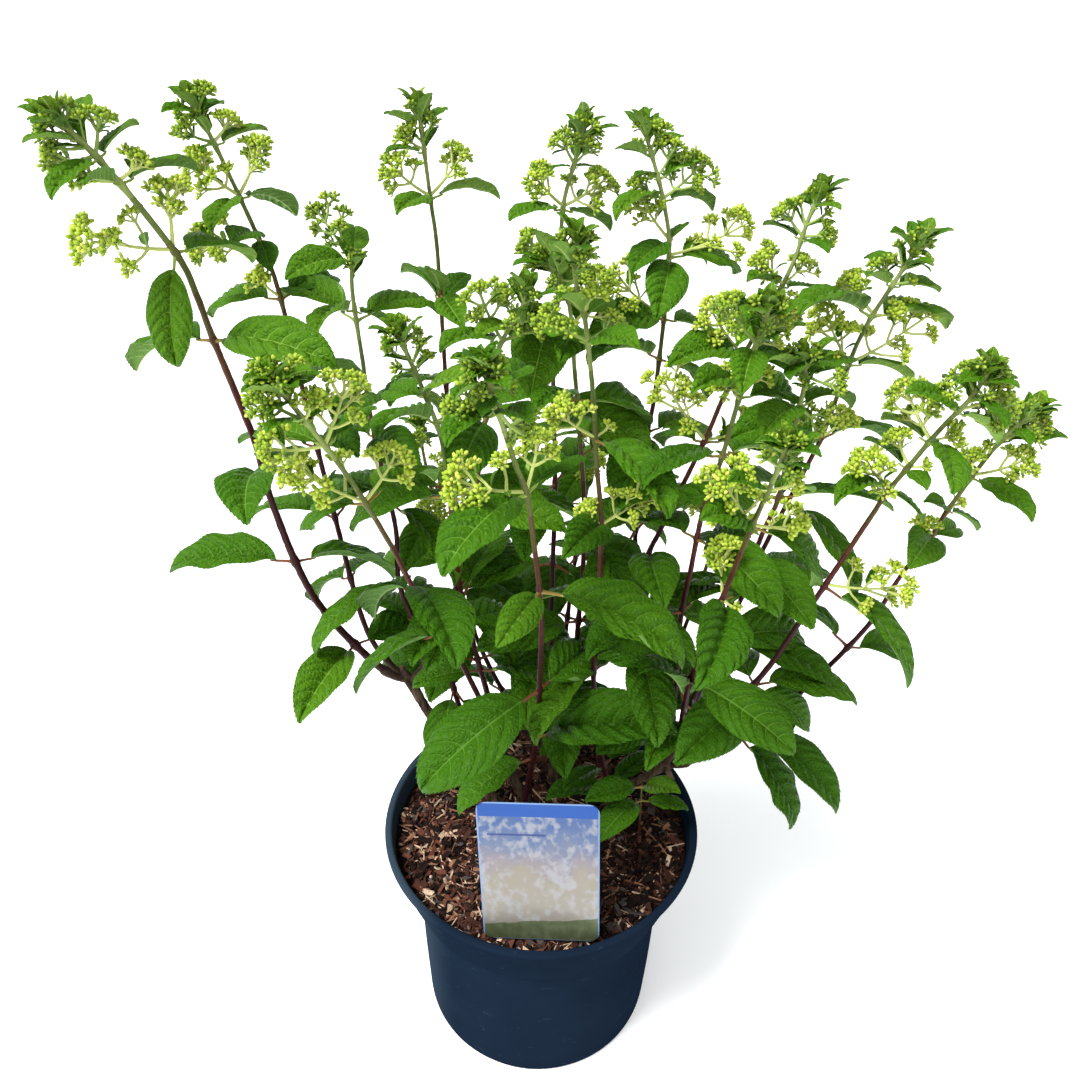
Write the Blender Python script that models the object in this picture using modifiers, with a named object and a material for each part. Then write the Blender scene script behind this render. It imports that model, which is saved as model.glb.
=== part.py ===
"""A panicle-flowered hydrangea shrub in its pot: old wood, bare canes and leafy, budding shoots."""
import math

import bpy
import bmesh
import numpy as np
from mathutils import Matrix

for thing in list(bpy.data.objects):
    bpy.data.objects.remove(thing, do_unlink=True)

# Driving dimensions in metres. Z is up and the origin is the middle of the pot's underside.
GAP = 0.0004             # kept between neighbouring pieces
POT_HEIGHT = 0.2155
POT_BASE = 0.1010        # radii
POT_BODY = 0.1045
POT_COLLAR = 0.1125
POT_LIP = 0.1300
COLLAR_HEIGHT = 0.0600
WALL = 0.0022
COMPOST_TOP = 0.1970
CARD_WIDTH = 0.0875
CARD_HEIGHT = 0.1340
CARD_THICK = 0.0006
CARD_AT = (0.0016, -0.107, 0.203)
CARD_LEAN = 7.5          # degrees back from upright
CARD_TURN = -3.3
CARD_ROLL = -2.9
STAKE_WIDTH = 0.0140
STAKE_THICK = 0.0016
STAKE_FOOT = 0.0180      # how far it goes below the card
STALK = 0.0007           # radius of a flower stalk
SPIKE = 0.0280           # how far the close buds reach below a shoot's tip
ROUND = 30               # sides of the pot

# A leaf: its chord as a part of its length, width, its own stalk, and half-widths along the
# blade.
SMALL_LEAF = 0.058
MIDDLE_LEAF = 0.072
LEAST_LEAF = 0.045       # a shorter one is a bract, and is left to the bud heads it stands under
LEAF_CHORD = 0.92
LEAF_WIDTH = 0.46
PETIOLE = 0.14
BLADE_AT = (0, 0.06, 0.18, 0.35, 0.5, 0.66, 0.8, 0.9, 1.0)
BLADE_HALF = (0.06, 0.42, 0.80, 1.0, 0.98, 0.80, 0.50, 0.24, 0.0)

# The plan of the plant, in millimetres and degrees. Each shoot follows a curve. Its nodes carry a
# pair of opposite leaves and then flower stalks, each given by its azimuth, rise and length, and
# its crown of small leaves stands round the bud head at its tip. Its bare cane begins where the
# old wood's arm ends, at the fraction "start" of the curve.
SHOOTS = [
    dict(number=1, thick=3.6, thin=2.3, start=0.026, cane=True, spike=1.0,
         curve=[(-116, 28, 348), (-130, 26, 356), (-162, 22, 406), (-178, 16, 454), (-190, 10, 526),
                (-192, 6, 566), (-204, -2, 638), (-208, -6, 668), (-214, -10, 694),
                (-242, -18, 746), (-262, -26, 772)],
         nodes=[(0.096, [(-110, -5, 90), (45, -15, 85)], []),
                (0.294, [(-175, -5, 100), (25, -25, 85)], []),
                (0.459, [(-85, 10, 90), (85, -25, 80)], []),
                (0.675, [(-25, 0, 95), (150, -25, 90)], []),
                (0.799, [(-105, -70, 70), (70, -20, 75)], [(-155, 10, 42), (95, 65, 30)]),
                (0.893, [(65, -5, 60), (-95, 15, 45)], [(30, 30, 16), (-155, 5, 18)]),
                (0.927, [(-105, -10, 50), (75, 15, 45)], [(-155, -10, 22), (65, 65, 20)]),
                (0.952, [(-125, 10, 35), (100, 25, 40)], [(-155, 5, 14), (145, 50, 16)])],
         crown=[(175, 20, 24), (-100, 20, 28), (155, 80, 24)]),
    dict(number=2, thick=2.6, thin=1.9, start=0.027, cane=True, spike=1.0,
         curve=[(-122, 42, 340), (-142, 46, 380), (-158, 56, 474), (-174, 68, 580), (-182, 76, 634),
                (-190, 80, 666), (-214, 90, 728), (-228, 94, 758)],
         nodes=[(0.203, [(140, -45, 75), (80, -25, 75)], []),
                (0.322, [(160, -10, 80), (65, 0, 80)], []),
                (0.451, [(155, -10, 80), (-55, 20, 75)], []),
                (0.581, [(55, -30, 75), (140, -5, 75)], []),
                (0.694, [(155, -20, 75), (65, -5, 65)], [(-150, 45, 20)]),
                (0.789, [(-65, -15, 40), (-95, 15, 55)], [(-155, -10, 36)]),
                (0.847, [(-95, -5, 55), (65, -25, 60)], [(-150, 40, 32), (45, 50, 28)]),
                (0.924, [(-95, 5, 24), (50, 5, 45)], [(-155, 20, 20), (35, 40, 18)]),
                (0.967, [(-115, 15, 35), (70, 5, 30)], [(-155, -10, 12), (45, 55, 14)])],
         crown=[(160, 30, 24), (-105, 40, 28), (80, 65, 24)]),
    dict(number=3, thick=2.6, thin=1.9, start=0.037, cane=True, spike=0.5,
         curve=[(-96, 34, 350), (-100, 38, 384), (-112, 42, 426), (-112, 46, 472), (-120, 52, 522),
                (-126, 56, 568), (-128, 60, 596), (-132, 66, 646), (-130, 70, 670)],
         nodes=[(0.117, [(130, -20, 80), (-45, 30, 75)], []),
                (0.241, [(-135, -20, 90), (40, -60, 100)], []),
                (0.45, [(-45, -30, 85), (140, -10, 80)], []),
                (0.605, [(120, -25, 75), (-55, 5, 70)], []),
                (0.683, [(-95, 10, 75), (45, -20, 75)], []),
                (0.86, [(50, -10, 80), (145, 0, 80)], []),
                (0.882, [(-105, 5, 60), (65, -35, 50)], []),
                (0.981, [(-130, 5, 60), (95, 15, 45)], [(150, 40, 34)])],
         crown=[(160, 60, 24), (-55, 40, 28), (55, 45, 24)]),
    dict(number=4, thick=2.6, thin=1.9, start=0.027, cane=True, spike=1.0,
         curve=[(-34, 6, 276), (-44, -8, 340), (-58, -24, 400), (-70, -36, 444), (-86, -50, 490),
                (-96, -66, 536), (-112, -90, 598), (-132, -120, 662), (-136, -130, 680)],
         nodes=[(0.402, [(-170, -35, 85), (45, -25, 85)], []),
                (0.517, [(-70, 5, 95), (135, -45, 85)], []),
                (0.727, [(60, -15, 80), (135, -35, 80)], [(40, 40, 30), (-155, 35, 42)]),
                (0.849, [(145, -10, 60), (70, 0, 55)], [(-155, 0, 26), (50, 55, 32)]),
                (0.901, [(-110, 20, 40), (65, -5, 35)], [(-155, 35, 24), (-35, 55, 16)]),
                (0.952, [(-130, 25, 30), (65, 5, 30)], [(-145, 50, 16), (45, 50, 14)])],
         crown=[(-120, 25, 24), (-30, 35, 28), (175, 65, 24)]),
    dict(number=5, thick=2.6, thin=1.9, start=0.024, cane=True, spike=1.0,
         curve=[(-36, 40, 258), (-70, 68, 410), (-74, 82, 476), (-76, 96, 536), (-78, 106, 580),
                (-82, 124, 654), (-86, 132, 686), (-94, 150, 746)],
         nodes=[(0.168, [(170, -20, 100), (25, -5, 95)], []),
                (0.313, [(-50, -30, 90), (75, -20, 100)], []),
                (0.465, [(-5, -5, 85), (165, -20, 85)], []),
                (0.623, [(-120, 10, 75), (55, -20, 80)], []),
                (0.735, [(130, 10, 60), (65, 15, 45)], []),
                (0.749, [(-95, 45, 45), (-65, -10, 50)], []),
                (0.875, [(-110, 5, 55), (30, -5, 60)], [(-155, 35, 30), (30, 40, 30)]),
                (0.934, [(-135, 10, 35), (75, 25, 30)], [(-155, 30, 16)]),
                (0.963, [(-130, 25, 40), (60, 15, 35)], [(35, 45, 8)])],
         crown=[(170, 50, 24), (-45, 55, 28), (85, 40, 24)]),
    dict(number=6, thick=2.6, thin=1.9, start=0.024, cane=True, spike=1.0,
         curve=[(2, 46, 248), (4, 52, 300), (4, 58, 360), (4, 68, 428), (4, 76, 496), (0, 92, 590),
                (2, 98, 630), (4, 108, 688), (10, 114, 714), (18, 120, 744)],
         nodes=[(0.104, [(120, -10, 100), (-15, -10, 100)], []),
                (0.224, [(-105, -10, 90), (90, 10, 105)], []),
                (0.36, [(-10, -40, 105), (-170, -15, 90)], []),
                (0.496, [(70, -5, 80), (-110, -20, 80)], []),
                (0.624, [(165, -15, 80), (-30, -15, 90)], []),
                (0.759, [(-105, -25, 90), (70, -10, 85)], []),
                (0.883, [(-130, 5, 55), (40, -25, 55)], [(-155, 40, 26), (25, 20, 32)]),
                (0.937, [(-140, 5, 22), (40, -10, 24)], [(-145, 55, 20), (30, 35, 14)]),
                (0.973, [(-115, 40, 24), (40, 5, 22)], [(-130, 65, 10), (20, -10, 12)])],
         crown=[(-105, 70, 24), (0, 20, 28), (95, 50, 24)]),
    dict(number=7, thick=2.7, thin=1.9, start=0, cane=True, spike=1.0,
         curve=[(61, 12, 188), (60, 10, 226), (50, 8, 268), (42, 4, 316), (36, 2, 376),
                (36, -4, 436), (34, -10, 516), (28, -14, 568), (24, -18, 612), (16, -24, 668),
                (10, -26, 690), (10, -30, 718)],
         nodes=[(0.1, [(-160, 10, 65), (40, 10, 55)], []),
                (0.152, [(-130, 15, 55), (55, -15, 70)], []),
                (0.355, [(-125, -15, 80), (65, -25, 85)], []),
                (0.498, [(-35, -15, 90), (150, -30, 80)], []),
                (0.617, [(40, 10, 80), (-115, 10, 65)], [(25, 20, 36), (-155, 45, 18)]),
                (0.745, [(120, -30, 90), (-60, -10, 85)], [(-155, 35, 30), (25, 25, 12)]),
                (0.87, [(-55, 20, 55), (125, -10, 50)], [(25, 25, 20), (-155, 30, 26)]),
                (0.904, [(55, 0, 35), (-120, 35, 40)], [(-50, 65, 14), (155, 30, 14)]),
                (0.958, [(60, 10, 30), (-125, 40, 35)], [(-30, 40, 12), (150, 35, 12)])],
         crown=[(175, 60, 24), (-80, 25, 28), (30, 60, 24)]),
    dict(number=8, thick=2.9, thin=1.9, start=0, cane=True, spike=1.0,
         curve=[(-14, 12, 188), (-14, 10, 224), (-6, -12, 320), (-4, -48, 448), (-6, -66, 504),
                (-10, -84, 554), (-14, -100, 596), (-20, -112, 622), (-28, -130, 662),
                (-34, -150, 696)],
         nodes=[(0.193, [(-150, -20, 80), (40, -25, 55)], []),
                (0.251, [(120, -10, 70), (-20, 20, 125)], []),
                (0.379, [(-145, -25, 120), (60, -15, 85)], []),
                (0.606, [(-20, -15, 110), (-115, -5, 60)], []),
                (0.789, [(-120, -5, 85), (60, -10, 70)], [(-155, 15, 38), (60, 60, 26)]),
                (0.921, [(-120, 5, 50), (-60, 20, 40)], [(-155, 15, 22), (35, -55, 22)]),
                (0.958, [(-120, 15, 35), (60, -5, 40)], [(-155, 20, 12), (20, -15, 10)]),
                (0.984, [(-115, 40, 30), (75, 5, 22)], [(-155, 25, 8), (25, 5, 8)])],
         crown=[(-145, 35, 24), (-65, 15, 28), (10, 80, 24)]),
    dict(number=9, thick=2.6, thin=1.9, start=0.024, cane=True, spike=1.0,
         curve=[(102, 28, 262), (86, 40, 324), (74, 54, 396), (66, 66, 454), (68, 76, 500),
                (70, 84, 536), (74, 92, 566), (78, 114, 650), (72, 124, 690), (54, 140, 740)],
         nodes=[(0.083, [(-140, -5, 70), (60, -15, 85)], []),
                (0.28, [(-45, -50, 95), (150, 20, 100)], []),
                (0.414, [(50, -5, 100), (-120, -25, 90)], []),
                (0.568, [(45, -25, 85), (-110, -20, 85)], []),
                (0.675, [(-135, 15, 80), (40, -40, 75)], []),
                (0.731, [(-145, 5, 75), (35, -30, 70)], [(-155, 35, 46)]),
                (0.814, [(-100, -15, 75), (35, -20, 80)], [(-100, -65, 8), (20, 10, 54)]),
                (0.835, [(-120, -5, 60), (60, 10, 35)], [(150, 40, 28)]),
                (0.889, [(-130, 0, 60), (40, -15, 60)], [(-160, 25, 22), (25, 30, 32)]),
                (0.918, [(30, 15, 45), (-135, 15, 30)], [(35, 50, 22)]),
                (0.951, [(-145, 15, 35), (45, 15, 35)], [(-160, 25, 10), (50, 60, 16)])],
         crown=[(140, 30, 24), (-120, 45, 28), (65, 60, 24)]),
    dict(number=10, thick=2.6, thin=1.9, start=0.026, cane=True, spike=1.0,
         curve=[(94, 12, 284), (74, 18, 354), (66, 26, 414), (72, 30, 464), (80, 34, 486),
                (104, 42, 552), (114, 48, 582), (124, 52, 610), (140, 58, 646), (150, 62, 672),
                (156, 66, 698), (164, 70, 718)],
         nodes=[(0.083, [(-145, 5, 65), (50, -10, 75)], []),
                (0.239, [(-80, -20, 95), (145, -30, 70)], []),
                (0.403, [(-90, 10, 85), (115, -80, 90)], []),
                (0.506, [(25, -15, 80), (-155, -15, 90)], []),
                (0.609, [(110, -30, 80), (25, -25, 80)], [(-150, 50, 64), (20, 0, 42)]),
                (0.745, [(-140, 10, 75), (35, -25, 70)], [(-150, 45, 42), (25, 30, 26)]),
                (0.821, [(-125, -10, 50), (40, -25, 45)], [(-160, -10, 18), (20, -20, 18)]),
                (0.856, [(-135, 20, 45), (35, -15, 45)], [(-155, 40, 24), (25, 35, 20)]),
                (0.924, [(120, 0, 40), (-75, 5, 35)], [(145, 40, 20), (-25, 10, 16)]),
                (0.967, [(105, 5, 24), (-70, 15, 30)], [(140, 50, 8), (-25, 20, 8)])],
         crown=[(-10, 40, 24), (75, 20, 28), (-145, 80, 24)]),
    dict(number=11, thick=2.6, thin=1.9, start=0.03, cane=True, spike=1.0,
         curve=[(100, 2, 294), (98, -4, 366), (94, -10, 438), (96, -14, 486), (98, -20, 538),
                (104, -26, 580), (110, -32, 638), (116, -40, 686)],
         nodes=[(0.096, [(95, -5, 60), (-115, 10, 75)], []),
                (0.386, [(-140, 5, 100), (55, -25, 90)], []),
                (0.554, [(-50, -10, 85), (125, -25, 85)], []),
                (0.728, [(40, -25, 85), (-140, 5, 80)], []),
                (0.834, [(-130, 25, 70), (45, -20, 70)], [(-155, 40, 22), (30, 35, 18)]),
                (0.922, [(-110, -10, 50), (40, 5, 45)], [(-155, 45, 30), (20, 40, 18)]),
                (0.974, [(-130, 20, 35), (45, -5, 30)], [(-155, 35, 12), (25, 30, 10)])],
         crown=[(-105, 50, 24), (-5, 30, 28), (120, 70, 24)]),
    dict(number=12, thick=2.6, thin=1.9, start=0.027, cane=True, spike=1.0,
         curve=[(116, 26, 276), (124, 30, 336), (148, 36, 432), (156, 38, 466), (178, 44, 534),
                (186, 46, 562), (198, 52, 624), (214, 56, 662), (230, 60, 694)],
         nodes=[(0.256, [(125, -20, 95), (-30, -5, 100)], []),
                (0.366, [(-155, 10, 90), (35, -10, 95)], []),
                (0.542, [(-60, -25, 90), (105, -25, 90)], []),
                (0.66, [(35, -20, 90), (-155, 15, 90)], [(-30, 50, 22)]),
                (0.783, [(-125, 15, 60), (20, -20, 65)], [(-155, 50, 40), (20, 20, 52)]),
                (0.861, [(-145, 15, 85), (30, -15, 85)], [(145, 40, 24), (-25, 5, 14)]),
                (0.911, [(-140, 25, 40), (25, -10, 45)], [(145, 40, 14), (-25, 15, 12)]),
                (0.942, [(125, -5, 35), (-75, 25, 30)], [(155, 5, 8), (-55, 65, 8)]),
                (0.965, [(-150, 35, 35), (35, -20, 24)], [(-150, 50, 12), (20, 10, 8)])],
         crown=[(-5, 30, 24), (90, 30, 28), (-85, 70, 24)]),
    dict(number=13, thick=2.6, thin=1.9, start=0.033, cane=True, spike=1.0,
         curve=[(110, 14, 292), (116, 8, 354), (122, 4, 404), (138, -6, 490), (142, -10, 518),
                (146, -14, 542), (146, -18, 570), (146, -20, 594), (146, -26, 630), (140, -30, 652)],
         nodes=[(0.309, [(30, -15, 100), (160, 35, 80)], []),
                (0.549, [(105, -25, 80), (-70, -5, 80)], []),
                (0.699, [(155, -25, 90), (0, -5, 85)], []),
                (0.887, [(-125, 5, 60), (40, -15, 60)], [(-155, -30, 18), (25, -45, 22)]),
                (0.948, [(-140, 30, 50), (45, -10, 45)], [(150, 40, 12), (-25, -15, 20)]),
                (0.979, [(-120, 0, 30), (40, -10, 24)], [(-155, 35, 12), (25, 25, 10)])],
         crown=[(-120, 40, 24), (0, 55, 28), (155, 70, 24)]),
    dict(number=14, thick=3.0, thin=1.9, start=0.03, cane=True, spike=1.0,
         curve=[(116, 4, 278), (140, -2, 336), (154, -6, 372), (166, -12, 408), (176, -16, 444),
                (186, -20, 478), (202, -28, 538), (208, -32, 562), (214, -36, 580), (226, -40, 610),
                (236, -46, 634), (240, -50, 656)],
         nodes=[(0.24, [(-130, -5, 100), (0, -35, 70)], []),
                (0.26, [(-5, -5, 85), (90, -25, 75)], []),
                (0.53, [(135, -30, 80), (-35, -35, 95)], [(-25, 10, 46)]),
                (0.748, [(-145, 10, 60), (5, -40, 40)], [(-155, 40, 34)]),
                (0.796, [(120, 5, 40), (-80, 5, 30)], [(135, 50, 20), (-25, 10, 10)]),
                (0.848, [(-95, 0, 60), (105, -10, 55)], [(-25, 25, 14), (135, 45, 32)]),
                (0.912, [(-150, 25, 55), (20, -35, 50)], [(-160, 35, 20), (20, 5, 24)]),
                (0.944, [(100, -5, 35), (-80, 0, 40)], [(135, 50, 14), (-35, -35, 22)]),
                (0.976, [(30, -10, 30), (-145, 10, 28)], [(-155, 45, 12), (25, 30, 10)])],
         crown=[(-160, 65, 24), (-60, 20, 28), (40, 55, 24)]),
    dict(number=15, thick=2.6, thin=1.9, start=0.032, cane=True, spike=1.0,
         curve=[(128, 8, 280), (162, 8, 316), (182, 8, 338), (202, 8, 364), (234, 8, 422),
                (248, 10, 464), (262, 10, 500), (268, 10, 522), (288, 10, 574), (308, 10, 602)],
         nodes=[(0.101, [(-45, -45, 95), (75, -10, 60)], []),
                (0.133, [(-35, -25, 100), (-85, 30, 60)], []),
                (0.212, [(-90, 10, 40), (60, 0, 55)], []),
                (0.414, [(140, 0, 90), (20, -30, 75)], []),
                (0.698, [(-125, 10, 65), (40, -15, 45)], [(-155, 45, 16)]),
                (0.759, [(20, -35, 40), (-150, 30, 35)], [(20, 10, 8)]),
                (0.832, [(-70, 0, 60), (105, -5, 45)], [(-150, 55, 20), (-30, 30, 30)]),
                (0.908, [(-150, 40, 50), (15, 0, 55)], [(-160, -20, 10), (20, 10, 26)]),
                (0.945, [(100, 15, 35), (-90, 0, 26)], [(-155, 40, 18), (20, 10, 12)])],
         crown=[(-45, 40, 24), (30, 5, 28), (70, 75, 24)]),
    dict(number=16, thick=2.6, thin=1.9, start=0.033, cane=True, spike=1.0,
         curve=[(104, -10, 312), (102, -34, 404), (108, -66, 500), (112, -94, 574),
                (114, -118, 624), (114, -126, 642), (112, -130, 650)],
         nodes=[(0.169, [(-145, 50, 85), (30, -65, 80)], []),
                (0.264, [(-40, -10, 95), (140, -15, 95)], []),
                (0.546, [(-105, 0, 95), (50, -35, 85)], [(100, 60, 28), (-35, -30, 10)]),
                (0.766, [(-140, 30, 60), (25, -45, 80)], [(-150, 50, 40), (20, -20, 28)]),
                (0.864, [(-145, 30, 40), (30, -15, 40)], [(-160, 25, 18), (20, 0, 14)]),
                (0.927, [(110, -5, 20), (-70, 30, 30)], [(-160, 35, 12), (20, 15, 10)])],
         crown=[(-145, 30, 24), (-60, 25, 28), (130, 80, 24)]),
    dict(number=17, thick=2.6, thin=1.9, start=0.03, cane=True, spike=1.0,
         curve=[(-62, 34, 274), (-76, 34, 358), (-62, 32, 460), (-54, 32, 500), (-44, 32, 572),
                (-40, 30, 600), (-34, 30, 626), (-20, 30, 652), (-18, 30, 666)],
         nodes=[(0.134, [(-95, -35, 75), (-25, -70, 90)], []),
                (0.388, [(-105, -10, 85), (65, -5, 95)], []),
                (0.572, [(0, -5, 85), (175, -5, 80)], []),
                (0.753, [(75, -30, 90), (-105, -5, 80)], []),
                (0.891, [(-125, 15, 65), (45, 0, 60)], [(-135, 60, 36), (25, 10, 28)]),
                (0.93, [(55, 0, 35), (-125, 5, 40)], [(140, 50, 16), (-20, 5, 12)])],
         crown=[(-145, 60, 24), (-30, 30, 28), (80, 55, 24)]),
    dict(number=18, thick=2.6, thin=1.9, start=0.029, cane=True, spike=1.0,
         curve=[(20, 34, 266), (22, 36, 326), (26, 40, 470), (18, 44, 566), (14, 46, 602),
                (8, 48, 650), (-8, 50, 678)],
         nodes=[(0.144, [(65, -10, 105), (-95, -10, 90)], []),
                (0.311, [(-160, -5, 90), (45, -30, 85)], []),
                (0.489, [(-50, -30, 80), (85, -30, 80)], []),
                (0.652, [(50, -5, 80), (-145, -15, 90)], []),
                (0.754, [(35, -30, 80), (-120, 15, 70)], []),
                (0.874, [(-100, 5, 65), (80, -5, 70)], [(30, 40, 32)]),
                (0.947, [(-130, 55, 55), (60, -5, 50)], [(150, 35, 28), (-20, 5, 18)]),
                (0.979, [(-150, 10, 30), (60, 10, 24)], [(-165, -15, 10), (35, 40, 8)])],
         crown=[(-175, 25, 24), (-75, 55, 28), (115, 50, 24)]),
    dict(number=19, thick=2.6, thin=1.9, start=0.03, cane=True, spike=1.0,
         curve=[(-32, 32, 262), (-50, 22, 358), (-62, 14, 434), (-66, 6, 500), (-68, -2, 552),
                (-72, -8, 588), (-88, -18, 644), (-94, -20, 658)],
         nodes=[(0.242, [(-165, -10, 60), (-30, 5, 85)], []),
                (0.432, [(-120, -10, 75), (70, 0, 100)], []),
                (0.666, [(-20, -5, 90), (170, -25, 85)], []),
                (0.816, [(-115, 20, 70), (70, -30, 70)], [(-25, 40, 22)]),
                (0.869, [(130, -20, 55), (-50, 30, 60)], []),
                (0.916, [(55, 15, 24), (-120, 10, 24)], [(-155, 10, 12), (30, 35, 12)]),
                (0.962, [(-120, 30, 22), (65, 10, 20)], [(-155, 0, 10), (30, 25, 12)])],
         crown=[(-145, 30, 24), (-35, 55, 28), (135, 50, 24)]),
    dict(number=20, thick=1.3, thin=0.9, start=0, cane=False, spike=1.0,
         curve=[(84, -4, 188), (82, -6, 214), (78, -22, 280)],
         nodes=[(0.742, [(-130, 0, 60), (-15, 5, 42)], []),
                (0.985, [(-50, 35, 50), (-160, 5, 54)], [])],
         crown=[]),
    dict(number=21, thick=2.6, thin=1.9, start=0.042, cane=True, spike=1.0,
         curve=[(12, 62, 258), (16, 92, 320), (26, 140, 400), (38, 182, 465), (44, 200, 505)],
         nodes=[(0.14, [(60, -15, 90), (-145, -15, 70)], []),
                (0.34, [(155, -15, 95), (-25, -15, 90)], []),
                (0.52, [(-120, -15, 90), (60, -15, 85)], []),
                (0.68, [(-20, -15, 85), (160, -15, 80)], []),
                (0.8, [(60, -15, 70), (-120, -15, 65)], [(80, 25, 30), (-100, 25, 36)]),
                (0.89, [(160, -15, 45), (-20, -15, 40)], [(-180, 25, 24), (0, 25, 20)]),
                (0.95, [(-115, -15, 30), (65, -15, 28)], [(-95, 25, 12), (85, 25, 12)])],
         crown=[(70, 30, 24), (165, 40, 28), (-10, 60, 24)]),
    dict(number=22, thick=2.6, thin=1.9, start=0.041, cane=True, spike=1.0,
         curve=[(-14, 62, 250), (-34, 74, 284), (-58, 92, 330), (-86, 134, 395), (-104, 172, 450),
                (-112, 190, 490)],
         nodes=[(0.15, [(150, -15, 90), (-20, -15, 65)], []),
                (0.36, [(-115, -15, 85), (65, 5, 90)], []),
                (0.55, [(-30, -15, 90), (150, -15, 85)], []),
                (0.71, [(70, -15, 80), (-110, -15, 75)], [(90, 25, 32), (-90, 25, 26)]),
                (0.83, [(150, -15, 60), (-30, -15, 55)], [(170, 25, 24), (-10, 25, 22)]),
                (0.92, [(-110, -15, 35), (70, -15, 35)], [(-90, 25, 14), (90, 25, 12)])],
         crown=[(110, 30, 24), (-150, 45, 28), (35, 60, 24)]),
    dict(number=23, thick=2.6, thin=1.9, start=0.042, cane=True, spike=1.0,
         curve=[(34, 60, 250), (62, 68, 284), (104, 80, 320), (132, 120, 380), (150, 160, 430),
                (160, 180, 462)],
         nodes=[(0.18, [(10, -15, 95), (-170, 0, 75)], []),
                (0.42, [(105, -15, 95), (-60, -15, 90)], []),
                (0.62, [(-170, -15, 85), (10, -15, 80)], []),
                (0.78, [(-70, -15, 70), (110, -15, 65)], [(-50, 25, 30), (130, 25, 28)]),
                (0.9, [(10, -15, 40), (-170, -15, 35)], [(30, 25, 16), (-150, 25, 14)])],
         crown=[(65, 20, 24), (155, 45, 28), (0, 55, 24)]),
]

# Each piece of old wood is a leaning trunk from the compost to a fork, the arms to its canes, and
# sawn stubs.
OLD_WOOD = [
    dict(name="old_wood_left", trunk=[(-30, 25, 188), (-62, 30, 235), (-94, 33, 300), (-108, 33, 336)],
         radii=[6.5, 6.0, 5.2, 4.8], carries=[1, 2, 3],
         stubs=[[(-108, 33, 336), (-113, 30, 353)], [(-56, 29, 226), (-72, 27, 262)]]),
    dict(name="old_wood_right", trunk=[(47, 30, 188), (76, 27, 226), (101, 16, 262)],
         radii=[5.6, 5.2, 5.0], carries=[9, 10, 11, 12, 13, 14, 15, 16],
         stubs=[[(101, 16, 262), (113, 0, 247)]]),
    dict(name="old_wood_middle", trunk=[(-8, 30, 188), (-22, 30, 220), (-36, 28, 246)],
         radii=[6.0, 5.5, 5.0], carries=[4, 5, 17, 19],
         stubs=[]),
    dict(name="old_wood_back", trunk=[(10, 54, 188), (10, 54, 212), (10, 52, 234)],
         radii=[6.5, 6.0, 5.2], carries=[6, 18, 21, 22, 23],
         stubs=[]),
]


def unit(v):
    v = np.asarray(v, float)
    return v / max(np.linalg.norm(v), 1e-12)


def spline(points, steps=8):
    """smooth curve through the points, evenly stepped between each two"""
    p = np.asarray(points, float) / 1000
    e = np.vstack([2 * p[0] - p[1], p, 2 * p[-1] - p[-2]])
    out = []
    for i in range(1, len(e) - 2):
        a, b, c, d = e[i - 1:i + 3]
        for k in range(steps):
            t = k / steps
            out.append(0.5 * (2 * b + (c - a) * t + (2 * a - 5 * b + 4 * c - d) * t * t
                              + (3 * b - a - 3 * c + d) * t ** 3))
    out.append(p[-1])
    return np.array(out)


def lengths(curve):
    return np.r_[0, np.cumsum(np.linalg.norm(np.diff(curve, axis=0), axis=1))]


def along(curve, t):
    """point and heading at a fraction of the curve's length"""
    run = lengths(curve)
    s = min(max(t, 0.0), 1.0) * run[-1]
    i = min(max(int(np.searchsorted(run, s)) - 1, 0), len(run) - 2)
    f = (s - run[i]) / max(run[i + 1] - run[i], 1e-9)
    return curve[i] + (curve[i + 1] - curve[i]) * f, unit(curve[i + 1] - curve[i])


def heading(azimuth, rise):
    a, e = math.radians(azimuth), math.radians(rise)
    return np.array([math.cos(e) * math.cos(a), math.cos(e) * math.sin(a), math.sin(e)])


def leaf_bend(length, number, row, side):
    """turn about its own line, and arch from root to tip"""
    roll = math.radians((number * 7 + row * 37 + side * 53) % 31 - 15)
    arch = 0.75 + 0.45 * ((number * 5 + row * 13 + side * 29) % 17) / 17
    return roll, (arch if length > SMALL_LEAF else 0.55)


def leaf_point(root, line, up, length, arch, s):
    """point on the rib, an arc over the leaf's line, and the blade's normal there"""
    half = arch / 2
    radius = LEAF_CHORD * length / (2 * math.sin(half))
    turn = arch * (0.5 - s)
    point = root + radius * ((math.sin(half) - math.sin(turn)) * line
                             + (math.cos(turn) - math.cos(half)) * up)
    return point, math.cos(turn) * up - math.sin(turn) * line


def leaf_axes(azimuth, rise, stem, roll):
    line = heading(azimuth, rise)
    lean = unit(0.8 * np.array([0, 0, 1.0]) + 0.3 * stem)
    up = lean - (lean @ line) * line
    if np.linalg.norm(up) < 0.15:
        up = stem - (stem @ line) * line
    up = unit(up)
    side = np.cross(line, up)
    return (line, math.cos(roll) * up + math.sin(roll) * side,
            math.cos(roll) * side - math.sin(roll) * up)


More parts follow.
